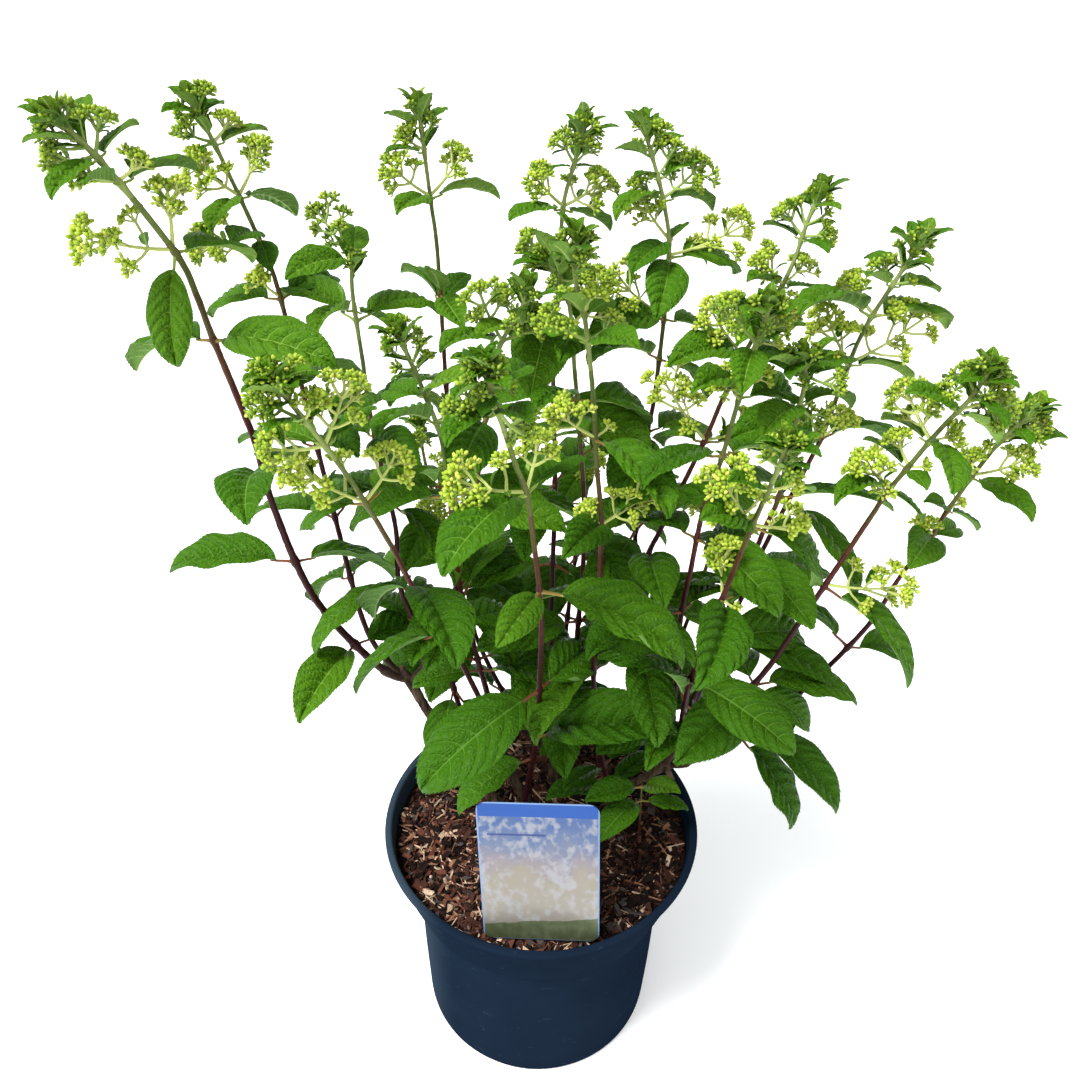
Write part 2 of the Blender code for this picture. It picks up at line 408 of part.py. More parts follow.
def leaf(root, azimuth, rise, length, stem, roll, arch, grow=0.0):
    """a straight stalk and a blade, lofted through sections of two edges and a rib below them"""
    line, up, side = leaf_axes(azimuth, rise, stem, roll)
    thick = max(0.0012, 0.014 * length)
    neck, n = leaf_point(root, line, up, length, arch, PETIOLE)
    along_stalk = unit(neck - root)
    n = unit(n - (n @ along_stalk) * along_stalk)
    rows = [(root, n, 0.0006, 0.0009), (neck, n, 0.0008, 0.0012)]
    for s in ((0.42, 0.72) if length > MIDDLE_LEAF else (0.48,)):
        u = (s - PETIOLE) / (1 - PETIOLE)
        half = 0.5 * LEAF_WIDTH * length * np.interp(u, BLADE_AT, BLADE_HALF)
        rows.append((*leaf_point(root, line, up, length, arch, s), half, thick))
    verts = []
    for p, n, half, deep in rows:
        verts += [p - side * (half + grow) + n * grow, p + side * (half + grow) + n * grow,
                  p - n * (deep + grow)]
    p, n = leaf_point(root, line, up, length, arch, 1.0)
    verts.append(p + line * grow)
    faces = [(0, 2, 1), (0, 1, 4, 3), (1, 2, 5, 4), (2, 0, 3, 5)]
    for r in range(3, len(rows) * 3 - 3, 3):
        faces += bridge(range(r, r + 3), range(r + 3, r + 6))
    last = 3 * len(rows) - 3
    faces += [(last + i, last + (i + 1) % 3, len(verts) - 1) for i in range(3)]
    return np.array(verts), faces


def bridge(low, high):
    """triangles between two rings of any number of corners"""
    faces, i, j = [], 0, 0
    a, b = len(low), len(high)
    while i < a or j < b:
        if j == b or (i < a and (i + 1) * b <= (j + 1) * a):
            faces.append((low[i % a], low[(i + 1) % a], high[j % b]))
            i += 1
        else:
            faces.append((low[i % a], high[(j + 1) % b], high[j % b]))
            j += 1
    return faces


def swelling(root, way, rows, tip, grow=0.0):
    """a body lofted along a straight line through rings (distance, radius, corners) to a tip"""
    a = unit(way)
    u = unit(np.cross(a, [0.31, 0.22, 0.92]))
    w = np.cross(a, u)
    verts, faces, rings_made = [], [], []
    for far, wide, corners in rows:
        rings_made.append(range(len(verts), len(verts) + corners))
        for k in range(corners):
            turn = 2 * math.pi * k / corners
            verts.append(root + a * far + (wide + grow) * (math.cos(turn) * u + math.sin(turn) * w))
    faces.append(tuple(reversed(rings_made[0])))
    for low, high in zip(rings_made, rings_made[1:]):
        if len(low) == len(high):
            faces += [(low[k], low[(k + 1) % len(low)], high[(k + 1) % len(low)], high[k])
                      for k in range(len(low))]
        else:
            faces += bridge(low, high)
    verts.append(root + a * (tip + grow))
    last = rings_made[-1]
    faces += [(last[k], last[(k + 1) % len(last)], len(verts) - 1) for k in range(len(last))]
    return np.array(verts), faces


def flower(root, way, reach, radius, grow=0.0):
    """a three-sided stalk that swells to a flattened bud head"""
    rows = [(0.0, STALK, 3)]
    if radius > 0.0095:
        rows.append((reach - 0.75 * radius, 1.5 * STALK, 3))
    rows.append((reach, radius, 6 if radius > 0.0095 else 5))
    return swelling(root, way, rows, reach + 0.75 * radius, grow)


def spike(shoot, grow=0.0):
    """the close bud heads and bracts round a shoot's tip, as one body"""
    tip, way = along(shoot["line"], 1.0)
    size = shoot["spike"]
    rows = [(0.0, 0.0012, 4), (0.010 * size, 0.0095 * size, 6), (0.024 * size, 0.0120 * size, 6),
            (0.035 * size, 0.0085 * size, 6)]
    return swelling(tip - way * SPIKE * size, way, rows, (SPIKE + 0.0135) * size, grow)


def head_radius(reach):
    """size of the bud head carried by a flower stalk of this length"""
    return min(0.003 + 0.34 * reach, 0.0175) + 0.0035


def stem_radius(shoot, t):
    return (shoot["thick"] * (1 - t) + shoot["thin"] * t) / 1000


def rings(shoot):
    """fractions of the curve where the shoot's limb has a ring: midway between its nodes"""
    marks = [n[0] for n in shoot["nodes"]]
    least = 0.016 / lengths(shoot["line"])[-1]
    rows = []
    for a, b in zip(marks, marks[1:]):
        if b - a > least and 1.0 - b > least / 2:
            rows.append((a + b) / 2)
    return rows + [1.0]


def cane_rings(shoot):
    """rings below the lowest leaves; the last but one limb segment is cut for the shoot"""
    run = lengths(shoot["line"])[-1]
    end = shoot["nodes"][0][0] - 0.018 / run
    steps = max(1, round((end - shoot["start"]) * run / 0.045))
    return [shoot["start"] + (end - shoot["start"]) * i / steps for i in range(steps + 1)]


def cut(shoot):
    """point and heading of the flat joint between the cane and the leafy shoot"""
    low = along(shoot["line"], cane_rings(shoot)[-1])[0]
    high = along(shoot["line"], rings(shoot)[0])[0]
    way = unit(high - low)
    return low + 0.010 * way, way


def cane_path(shoot):
    marks = cane_rings(shoot)
    points = [along(shoot["line"], t)[0] for t in marks]
    joint, way = cut(shoot)
    first = unit(points[1] - points[0]) if len(points) > 1 else unit(joint - points[0])
    if shoot["start"] > 0:
        points[0] = points[0] + first * GAP / 2
    points.append(joint - way * GAP / 2)
    return points, [stem_radius(shoot, t) for t in marks + [marks[-1]]]


def shoot_path(shoot):
    marks = rings(shoot)
    points = [along(shoot["line"], t)[0] for t in marks]
    if shoot["cane"]:
        joint, way = cut(shoot)
        first = joint + way * GAP / 2
    else:
        first = shoot["line"][0]
    return [first] + points, [1.15 * stem_radius(shoot, t) for t in [0.9 * marks[0]] + marks]


def socket(shoot, t):
    """where what a node carries is rooted: on the limb's own straight runs"""
    run = lengths(shoot["line"])[-1]
    low = cane_rings(shoot)[-1] + 0.010 / run if shoot["cane"] else 0.0
    marks = [low] + rings(shoot)
    points = np.array(shoot_path(shoot)[0])
    return (np.array([np.interp(t, marks, points[:, k]) for k in range(3)]),
            along(shoot["line"], t)[1])


def arm_path(shoot, fork):
    """the old wood's arm from its fork, ending in line with the cane it carries"""
    points = cane_path(shoot)[0]
    way = unit(points[1] - points[0])
    end = points[0] - way * GAP
    elbow = end - way * np.linalg.norm(end - shoot["line"][0])
    r = shoot["thick"] / 1000
    return [fork, elbow, end], [0.0042, 1.25 * r, 1.15 * r]


def tube(name, points, radii, sides=6):
    """a tapering limb with flat ends, as a mesh"""
    data = bpy.data.curves.new(name, "CURVE")
    data.dimensions = "3D"
    data.fill_mode = "FULL"
    data.use_fill_caps = True
    data.bevel_depth = 1.0
    data.bevel_resolution = (sides - 4) // 2
    line = data.splines.new("POLY")
    line.points.add(len(points) - 1)
    for knot, at, radius in zip(line.points, points, radii):
        knot.co = (*at, 1.0)
        knot.radius = radius
    wire = bpy.data.objects.new(name, data)
    bpy.context.scene.collection.objects.link(wire)
    seen = wire.evaluated_get(bpy.context.evaluated_depsgraph_get())
    mesh = bpy.data.meshes.new_from_object(seen)
    bpy.data.objects.remove(wire)
    bpy.data.curves.remove(data)
    work = bmesh.new()
    work.from_mesh(mesh)
    bmesh.ops.remove_doubles(work, verts=work.verts, dist=1e-6)
    bmesh.ops.recalc_face_normals(work, faces=work.faces)
    work.to_mesh(mesh)
    work.free()
    return mesh


def from_faces(name, verts, faces):
    mesh = bpy.data.meshes.new(name)
    mesh.from_pydata([tuple(v) for v in verts], [], faces)
    mesh.update()
    return mesh


def from_work(name, work):
    mesh = bpy.data.meshes.new(name)
    work.to_mesh(mesh)
    work.free()
    return mesh


def finish(name, colour, roughness, metallic=0.0):
    material = bpy.data.materials.new(name)
    material.use_nodes = True
    shader = material.node_tree.nodes["Principled BSDF"]
    shader.inputs["Base Color"].default_value = (*colour, 1.0)
    shader.inputs["Roughness"].default_value = roughness
    shader.inputs["Metallic"].default_value = metallic
    return material


def put(name, data, group, material=None, smooth=False):
    """an object in its collection"""
    made = bpy.data.objects.new(name, data)
    group.objects.link(made)
    if material:
        data.materials.clear()
        data.materials.append(material)
    if smooth:
        data.shade_smooth()
        data.set_sharp_from_angle(angle=math.radians(35))
    return made


def fuse(name, meshes, material):
    """one closed body from the first mesh and the others, joined to it by one Boolean union"""
    body = put(name, meshes[0], plant)
    loose = bpy.data.collections.new(name + "_loose")
    bpy.context.scene.collection.children.link(loose)
    for n, mesh in enumerate(meshes[1:]):
        put(f"{name}_{n}", mesh, loose)
    union = body.modifiers.new("join", "BOOLEAN")
    union.operation = "UNION"
    union.operand_type = "COLLECTION"
    union.collection = loose
    seen = body.evaluated_get(bpy.context.evaluated_depsgraph_get())
    joined = bpy.data.meshes.new_from_object(seen)
    body.modifiers.clear()
    body.data = joined
    work = bmesh.new()
    work.from_mesh(joined)
    bmesh.ops.dissolve_degenerate(work, dist=1e-6, edges=work.edges)
    bmesh.ops.dissolve_limit(work, angle_limit=math.radians(1.0), verts=work.verts, edges=work.edges)
    bmesh.ops.triangulate(work, faces=work.faces)
    work.to_mesh(joined)
    work.free()
    joined.materials.clear()
    joined.materials.append(material)
    for extra in list(loose.objects):
        bpy.data.objects.remove(extra, do_unlink=True)
    bpy.data.collections.remove(loose)
    return body


def turned(name, profile, group, material, smooth=True):
    """a profile of radius and height, screwed round Z; it runs down the outside"""
    work = bmesh.new()
    knots = [work.verts.new((r, 0, z)) for r, z in profile]
    for a, b in zip(knots, knots[1:]):
        work.edges.new((a, b))
    made = put(name, from_work(name, work), group, material)
    screw = made.modifiers.new("turn", "SCREW")
    screw.steps = ROUND
    screw.render_steps = ROUND
    screw.use_merge_vertices = True
    screw.merge_threshold = 0.0001
    screw.use_smooth_shade = smooth
    return made


plant = bpy.data.collections.new("potted_hydrangea")
cutters = bpy.data.collections.new("cutters")
bpy.context.scene.collection.children.link(plant)
bpy.context.scene.collection.children.link(cutters)
bark = finish("bark", (0.16, 0.10, 0.065), 0.85)
cane_skin = finish("cane_skin", (0.13, 0.045, 0.035), 0.55)
leafy = finish("leafy", (0.06, 0.17, 0.035), 0.5)

# the pot: wall, collar and lip turned in one, with a solid flat floor
lip = POT_HEIGHT
foot_of_collar = POT_HEIGHT - COLLAR_HEIGHT
turned("pot", [
    (0.0, 0.0035), (POT_BODY - WALL - 0.0015, 0.0035), (POT_BODY - WALL, foot_of_collar - 0.0025),
    (POT_COLLAR - 0.0030, foot_of_collar + 0.0025), (0.1225, COMPOST_TOP), (0.1235, lip - 0.0025),
    (0.1245, lip + 0.0010), (POT_LIP, lip), (POT_LIP, lip - 0.0035), (0.1285, lip - 0.0050),
    (POT_COLLAR, foot_of_collar + 0.0005), (POT_BODY, foot_of_collar - 0.0010),
    (POT_BASE, 0.0030), (POT_BASE - 0.0025, 0.0), (0.0, 0.0)],
    plant, finish("pot_plastic", (0.022, 0.036, 0.062), 0.42))

# the compost fills it, with a low mound, and pits for all that stands in it
side = GAP / math.cos(math.pi / ROUND)
compost = turned("compost", [
    (0.0, 0.0035 + GAP), (POT_BODY - WALL - 0.0015 - side, 0.0035 + GAP),
    (POT_BODY - WALL - side, foot_of_collar - 0.0030 + GAP),
    (POT_COLLAR - 0.0030 - side, foot_of_collar + 0.0025 + GAP),
    (0.1222 - side, COMPOST_TOP - 0.0015), (0.105, COMPOST_TOP), (0.070, COMPOST_TOP + 0.0010),
    (0.035, COMPOST_TOP + 0.0015), (0.0, COMPOST_TOP + 0.0010)][::-1],
    plant, finish("compost", (0.045, 0.028, 0.018), 0.95), smooth=False)

# the card on its stake
outline = bpy.data.curves.new("label", "CURVE")
outline.dimensions = "2D"
outline.fill_mode = "BOTH"
outline.extrude = CARD_THICK / 2
corner = 0.008
edge = outline.splines.new("POLY")
rim = []
for quarter in range(4):
    cx = (CARD_WIDTH / 2 - corner) * (1 if quarter in (0, 3) else -1)
    cy = (CARD_HEIGHT / 2 - corner) * (1 if quarter in (0, 1) else -1) + CARD_HEIGHT / 2
    for step in range(4):
        a = math.radians(90 * quarter + 30 * step)
        rim.append((cx + corner * math.cos(a), cy + corner * math.sin(a)))
edge.points.add(len(rim) - 1)
for knot, (x, y) in zip(edge.points, rim):
    knot.co = (x, y, 0.0, 1.0)
edge.use_cyclic_u = True
pose = (Matrix.Translation(CARD_AT) @ Matrix.Rotation(math.radians(CARD_TURN), 4, "Z")
        @ Matrix.Rotation(math.radians(90.0 - CARD_LEAN), 4, "X")
        @ Matrix.Rotation(math.radians(-CARD_ROLL), 4, "Z"))
card = bpy.data.objects.new("label", outline)
plant.objects.link(card)
card.matrix_world = pose
outline.materials.append(finish("card", (0.62, 0.66, 0.72), 0.3))

stake_high = 0.085


def stake_block(name, grow):
    work = bmesh.new()
    tall = stake_high + STAKE_FOOT
    middle = (0, (stake_high - STAKE_FOOT) / 2, -CARD_THICK / 2 - GAP - STAKE_THICK / 2)
    size = Matrix.Diagonal((STAKE_WIDTH + 2 * grow, tall + 2 * grow, STAKE_THICK + 2 * grow, 1))
    bmesh.ops.create_cube(work, size=1.0, matrix=Matrix.Translation(middle) @ size)
    return from_work(name, work)


stake = put("label_stake", stake_block("label_stake", 0.0), plant, finish("stake", (0.02, 0.02, 0.022), 0.5))
stake.matrix_world = pose
slot = put("slot_cutter", stake_block("slot_cutter", GAP), cutters)
slot.matrix_world = pose


def pit(name, points, radii, sides):
    """a cutter for the foot of a limb in the compost"""
    deep = points[0] - unit(points[1] - points[0]) * GAP
    put(name, tube(name, [deep] + list(points[1:]), [r + GAP for r in radii], sides), cutters)


# old wood, canes and shoots
by_number = {}
for shoot in SHOOTS:
    shoot["line"] = spline(shoot["curve"])
    by_number[shoot["number"]] = shoot

for wood in OLD_WOOD:
    trunk = np.array(wood["trunk"], float) / 1000
    radii = [r / 1000 for r in wood["radii"]]
    pieces = [tube("trunk", trunk, radii, 6)]
    pit("pit_" + wood["name"], trunk[:2], radii[:2], 6)
    for number in wood["carries"]:
        pieces.append(tube("arm", *arm_path(by_number[number], trunk[-1]), 6))
    for stub in wood["stubs"]:
        pieces.append(tube("stub", np.array(stub, float) / 1000, [0.0045, 0.0040], 6))
    fuse(wood["name"], pieces, bark)

for shoot in SHOOTS:
    number = shoot["number"]
    line = shoot["line"]
    if shoot["cane"]:
        points, radii = cane_path(shoot)
        put(f"cane_{number:02d}", tube("cane", points, radii), plant, cane_skin, smooth=True)
    else:
        points, radii = shoot_path(shoot)
    if shoot["start"] == 0:
        pit(f"pit_{number:02d}", points[:2], radii[:2], 6)

    pieces = [tube("shoot", *shoot_path(shoot), 4)]
    for row, (t, leaves, flowers) in enumerate(shoot["nodes"]):
        at, up = socket(shoot, t)
        buried = (1 - t) * lengths(line)[-1] < SPIKE * shoot["spike"]
        for azimuth, rise, reach in ([] if buried else flowers):
            reach = reach / 1000
            way = heading(azimuth, rise)
            root = at + up * 0.0026
            pieces.append(from_faces("flower", *flower(root, way, reach, head_radius(reach))))
        for side, (azimuth, rise, reach) in enumerate(leaves):
            if shoot["cane"] and reach / 1000 < LEAST_LEAF:
                continue
            roll, arch = leaf_bend(reach / 1000, number, row, side)
            root = at + up * (0.0004 if side else 0.0)
            pieces.append(from_faces("leaf", *leaf(root, azimuth, rise, reach / 1000, up, roll, arch)))
    if shoot["cane"]:
        pieces.append(from_faces("spike", *spike(shoot)))
    fuse(f"shoot_{number:02d}", pieces, leafy)

# the pits are cut last
cut_pits = compost.modifiers.new("pits", "BOOLEAN")
cut_pits.operation = "DIFFERENCE"
cut_pits.operand_type = "COLLECTION"
cut_pits.collection = cutters
cut_pits.solver = "EXACT"
for tool in cutters.objects:
    tool.hide_render = True
    tool.display_type = "WIRE"
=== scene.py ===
"""A panicle-flowered hydrangea shrub in its nursery pot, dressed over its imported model."""
import math

import bpy
import numpy as np
from mathutils import Matrix, Vector, noise


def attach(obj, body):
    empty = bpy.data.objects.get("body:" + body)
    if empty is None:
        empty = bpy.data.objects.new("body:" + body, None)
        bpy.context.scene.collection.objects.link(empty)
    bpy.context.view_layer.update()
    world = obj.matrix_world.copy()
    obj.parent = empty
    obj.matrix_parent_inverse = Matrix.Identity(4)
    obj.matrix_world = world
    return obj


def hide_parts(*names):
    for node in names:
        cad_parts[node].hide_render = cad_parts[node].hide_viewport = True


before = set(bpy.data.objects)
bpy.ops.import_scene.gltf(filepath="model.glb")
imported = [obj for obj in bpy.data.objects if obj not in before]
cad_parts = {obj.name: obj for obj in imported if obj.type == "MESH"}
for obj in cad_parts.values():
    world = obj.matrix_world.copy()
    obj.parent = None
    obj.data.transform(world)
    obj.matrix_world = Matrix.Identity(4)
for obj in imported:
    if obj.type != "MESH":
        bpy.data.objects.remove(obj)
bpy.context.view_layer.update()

# The camera stands in front of the shrub and looks down into its crown, with the lens of a phone
# held upright and turned a little off level.
SENSOR = 36.0
LENS = SENSOR * 1001.0 / 1080.0
eye = Vector((-0.0063, -0.5606, 0.8838))
look_down = math.radians(34.586)
lean = math.radians(1.262)
ahead = Vector((0.0, math.cos(look_down), -math.sin(look_down)))
level = Vector((1.0, 0.0, 0.0))
upward = level.cross(ahead)
camera_right = math.cos(lean) * level + math.sin(lean) * upward
camera_up = math.cos(lean) * upward - math.sin(lean) * level
camera_data = bpy.data.cameras.new("camera")
camera_data.sensor_width = SENSOR
camera_data.lens = LENS
camera_data.clip_start = 0.01
camera = bpy.data.objects.new("camera", camera_data)
bpy.context.scene.collection.objects.link(camera)
turned = Matrix((camera_right, camera_up, -ahead)).transposed().to_4x4()
camera.matrix_world = Matrix.Translation(eye) @ turned
bpy.context.scene.camera = camera

# A plain white studio: an even white dome, one broad soft lamp from above and in front on the
# left, and a pale floor that runs out of sight.
bpy.context.scene.view_settings.view_transform = "Standard"
world = bpy.data.worlds.new("studio")
world.use_nodes = True
dome = world.node_tree.nodes["Background"]
dome.inputs["Color"].default_value = (0.97, 0.985, 1.0, 1.0)
dome.inputs["Strength"].default_value = 0.80
bpy.context.scene.world = world
for name, strength, spread, aim in (
    ("broad_lamp", 4.3, 24.0, (0.52, 0.30, -1.0)),
    ("front_lamp", 0.9, 60.0, (0.45, 0.80, -0.55)),
):
    lamp = bpy.data.lights.new(name, "SUN")
    lamp.energy = strength
    lamp.angle = math.radians(spread)
    hung = bpy.data.objects.new(name, lamp)
    hung.rotation_euler = Vector(aim).to_track_quat("-Z", "Y").to_euler()
    bpy.context.scene.collection.objects.link(hung)


class Tone:
    """A value inside a material's nodes, which Python sums and products can take."""

    def __init__(self, tree, socket):
        self.tree = tree
        self.socket = socket

    def work(self, operation, first, second):
        node = self.tree.nodes.new("ShaderNodeMath")
        node.operation = operation
        for place, value in zip(node.inputs, (first, second)):
            if isinstance(value, Tone):
                self.tree.links.new(value.socket, place)
            else:
                place.default_value = value
        return Tone(self.tree, node.outputs[0])

    def __add__(self, other):
        return self.work("ADD", self, other)

    __radd__ = __add__

    def __sub__(self, other):
        return self.work("SUBTRACT", self, other)

    def __rsub__(self, other):
        return self.work("SUBTRACT", other, self)

    def __mul__(self, other):
        return self.work("MULTIPLY", self, other)

    __rmul__ = __mul__

    def __gt__(self, other):
        return self.work("GREATER_THAN", self, other)

    def __lt__(self, other):
        return self.work("LESS_THAN", self, other)


def paint(red, green, blue):
    """a colour chart's 0 to 255 values as the shader's linear colour"""
    linear = []
    for part in (red, green, blue):
        part = part / 255.0
        linear.append(part / 12.92 if part <= 0.04045 else ((part + 0.055) / 1.055) ** 2.4)
    return (*linear, 1.0)


class Finish:
    """One material: its shader, and the nodes that feed it."""

    def __init__(self, name, colour, roughness, **others):
        self.material = bpy.data.materials.new(name)
        self.material.use_nodes = True
        self.tree = self.material.node_tree
        self.shader = self.tree.nodes["Principled BSDF"]
        self.coat(colour)
        self.set(self.shader.inputs["Roughness"], roughness)
        for socket, value in others.items():
            self.set(self.shader.inputs[socket.replace("_", " ")], value)

    def set(self, place, value):
        if isinstance(value, Tone):
            self.tree.links.new(value.socket, place)
        else:
            place.default_value = value

    def add(self, kind, settings, sockets, output=0):
        """a node of this kind: its settings first, then its sockets; gives one of its outputs"""
        node = self.tree.nodes.new("ShaderNode" + kind)
        for setting, value in settings.items():
            if setting == "stops":
                ramp = node.color_ramp.elements
                while len(ramp) < len(value):
                    ramp.new(0.5)
                for stop, (position, colour) in zip(ramp, value):
                    stop.position = position
                    stop.color = colour
            else:
                setattr(node, setting, value)
        for socket, value in sockets.items():
            self.set(node.inputs[socket], value)
        return Tone(self.tree, node.outputs[output])

    def place(self):
        """where a point is on the whole object, in metres"""
        return self.add("TexCoord", {}, {}, output="Object")

    def coat(self, value):
        self.set(self.shader.inputs["Base Color"], value)

    def noise(self, scale, detail=2.0, vector=None):
        return self.add("TexNoise", {},
                        {"Scale": scale, "Detail": detail, "Vector": vector or self.place()})

    def blend(self, share, first, second):
        """a mix of two colours"""
        return self.add("Mix", {"data_type": "RGBA"}, {0: share, 6: first, 7: second}, output=2)

    def stretch(self, *factors):
        """the place, with each of its axes multiplied"""
        return self.add("VectorMath", {"operation": "MULTIPLY"}, {0: self.place(), 1: factors})

    def relief(self, height, strength, distance):
        bump = self.add("Bump", {}, {"Height": height, "Strength": strength, "Distance": distance})
        self.set(self.shader.inputs["Normal"], bump)


class Heap:
    """Corners and faces of many like things, which become one joined mesh."""

    def __init__(self):
        self.corners = []
        self.faces = []
        self.count = 0

    def add(self, corners, *groups):
        """corners, then pairs of faces (an array of corner numbers) and their material slots"""
        corners = np.asarray(corners, float).reshape(-1, 3)
        for faces, slot in groups:
            faces = np.asarray(faces)
            self.faces.append((faces + self.count, np.broadcast_to(slot, len(faces))))
        self.corners.append(corners)
        self.count += len(corners)

    def make(self, name, finishes, smooth=True):
        corners = np.concatenate(self.corners)
        sizes = np.concatenate([np.full(len(f), f.shape[1]) for f, _ in self.faces])
        mesh = bpy.data.meshes.new(name)
        mesh.vertices.add(len(corners))
        mesh.vertices.foreach_set("co", corners.astype(np.float32).ravel())
        mesh.loops.add(int(sizes.sum()))
        mesh.loops.foreach_set("vertex_index", np.concatenate([f.ravel() for f, _ in self.faces]))
        mesh.polygons.add(len(sizes))
        mesh.polygons.foreach_set("loop_start", np.cumsum(sizes) - sizes)
        mesh.polygons.foreach_set("material_index", np.concatenate([s for _, s in self.faces]))
        mesh.polygons.foreach_set("use_smooth", np.full(len(sizes), smooth))
        mesh.update(calc_edges=True)
        for finish in finishes:
            mesh.materials.append(finish.material)
        made = bpy.data.objects.new(name, mesh)
        bpy.context.scene.collection.objects.link(made)
        return made


def lattice(rows, columns, closed=False):
    """four-cornered faces between rows of corners; closed joins the last column to the first"""
    row, column = np.meshgrid(np.arange(rows - 1), np.arange(columns - (not closed)), indexing="ij")
    low = (row * columns + column).ravel()
    beside = (row * columns + (column + 1) % columns).ravel()
    return np.stack([low, beside, beside + columns, low + columns], axis=1)


floor_finish = Finish("floor_white", paint(243, 244, 245), 0.9, Specular_IOR_Level=0.1)
floor_finish.shader.inputs["Emission Color"].default_value = (1.0, 1.0, 1.0, 1.0)
floor_finish.shader.inputs["Emission Strength"].default_value = 0.24
floor_finish.relief(floor_finish.noise(60.0), 0.02, 0.001)
floor_heap = Heap()
FLOOR_REACH = 14.0
floor_heap.add([(x * FLOOR_REACH, y * FLOOR_REACH, 0.0) for y in (-1, 1) for x in (-1, 1)],
               ([(0, 1, 3, 2)], 0))
floor_heap.make("studio_floor", [floor_finish])

# The pot is a dark slate-blue nursery pot of 7 litres, blown in one thin wall with a collar and a
# rolled lip. It is turned from its profile, a little out of true, and dented low on the left.
POT_HEIGHT = 0.2155
POT_BASE = 0.1010
POT_BODY = 0.1045
POT_COLLAR = 0.1125
POT_LIP = 0.1300
COLLAR_FOOT = POT_HEIGHT - 0.0600
COMPOST_TOP = 0.1970
POT_SIDES = 144


def divided(profile, steps):
    """the same profile with each of its straights cut into this many steps"""
    finer = []
    for (r0, z0), (r1, z1) in zip(profile, profile[1:]):
        for k in range(steps):
            finer.append((r0 + (r1 - r0) * k / steps, z0 + (z1 - z0) * k / steps))
    return finer + [profile[-1]]


def eased(profile, passes):
    """the same profile with its corners rounded; its ends stay"""
    knots = np.array(profile, float)
    for _ in range(passes):
        knots[1:-1] = 0.25 * knots[:-2] + 0.5 * knots[1:-1] + 0.25 * knots[2:]
    return knots


def turn_round(profile, sides):
    """rings of corners round Z, for a profile that runs up the outside"""
    angle = 2 * math.pi * np.arange(sides) / sides
    radius, height = np.array(profile).T
    return np.stack([radius[:, None] * np.cos(angle), radius[:, None] * np.sin(angle),
                     np.broadcast_to(height[:, None], (len(profile), sides))], axis=-1)


lip = [(POT_COLLAR + 0.0156, POT_HEIGHT - 0.0058), (POT_LIP - 0.0008, POT_HEIGHT - 0.0052),
       (POT_LIP, POT_HEIGHT - 0.0040), (POT_LIP, POT_HEIGHT - 0.0010),
       (POT_LIP - 0.0010, POT_HEIGHT), (0.1255, POT_HEIGHT + 0.0004),
       (0.1240, POT_HEIGHT - 0.0010), (0.1235, POT_HEIGHT - 0.0040)]
outside = [(0.002, 0.0022), (0.094, 0.0022), (0.0960, 0.0002), (0.0985, 0.0), (0.1002, 0.0012),
           (POT_BASE, 0.0040), (POT_BASE + 0.0012, 0.045), (POT_BASE + 0.0023, 0.100),
           (POT_BODY, COLLAR_FOOT - 0.0040), (POT_BODY + 0.0006, COLLAR_FOOT - 0.0018),
           (POT_COLLAR - 0.0012, COLLAR_FOOT + 0.0002), (POT_COLLAR, COLLAR_FOOT + 0.0022)]
inside = [(0.1232, POT_HEIGHT - 0.010), (0.1222, COMPOST_TOP), (0.1175, COMPOST_TOP - 0.022)]
profile = np.vstack([eased(divided(outside, 5), 2), eased(divided([outside[-1], lip[0]], 12), 1)[1:],
                     eased(divided(lip, 3), 1), divided(inside, 3)])
rings = turn_round(profile, POT_SIDES)
angle = np.arctan2(rings[..., 1], rings[..., 0])
radius = np.hypot(rings[..., 0], rings[..., 1])
wander = (0.00035 * np.sin(2 * angle + 0.7)
          + 0.0002 * np.sin(5 * angle + 9.0 * rings[..., 2] / POT_HEIGHT))
dent = (-0.0024 * np.exp(-((angle + 2.05) / 0.42) ** 2 - ((rings[..., 2] - 0.030) / 0.020) ** 2)
        + 0.0010 * np.exp(-((angle + 1.60) / 0.30) ** 2 - ((rings[..., 2] - 0.022) / 0.024) ** 2))
side_share = np.clip(radius / POT_BASE, 0.0, 1.0) ** 8
rings[..., :2] *= (1.0 + (wander + dent) * side_share / np.maximum(radius, 0.01))[..., None]

pot_plastic = Finish("pot_plastic", paint(18, 31, 48), 0.42, Specular_IOR_Level=0.0)
drift = pot_plastic.noise(14.0, 4.0)
fine = pot_plastic.noise(420.0, 3.0)
scuffs = pot_plastic.noise(60.0, 5.0, pot_plastic.stretch(1.0, 1.0, 4.0))
specks = pot_plastic.noise(230.0, 1.0) > 0.77
# Painted highlight: towards its left side the pot's blue is blended paler, standing in for the soft light
# that falls on that side.
painted_left_highlight = pot_plastic.add("MapRange", {"interpolation_type": "SMOOTHSTEP"},
                        {0: pot_plastic.add("SeparateXYZ", {}, {"Vector": pot_plastic.place()}),
                         1: -0.070, 2: -0.108})
body_blue = pot_plastic.blend(drift, paint(15, 25, 37), paint(25, 37, 53))
scuffed = pot_plastic.blend((scuffs > 0.68) * 0.12, body_blue, paint(60, 76, 94))
scuffed_and_highlit_blue = pot_plastic.blend(painted_left_highlight * 0.62, scuffed, paint(56, 70, 82))
pot_plastic.coat(pot_plastic.blend(specks * 0.09, scuffed_and_highlit_blue, paint(112, 122, 130)))
pot_plastic.set(pot_plastic.shader.inputs["Roughness"], 0.34 + drift * 0.16 + specks * 0.3)
pot_plastic.relief(drift * 2.0 + fine * 0.35, 0.35, 0.0005)
pot_heap = Heap()
pot_heap.add(rings, (lattice(len(profile), POT_SIDES, closed=True), 0),
             ([list(range(POT_SIDES))[::-1]], 0))
pot = pot_heap.make("nursery_pot", [pot_plastic])
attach(pot, "root")
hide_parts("pot")
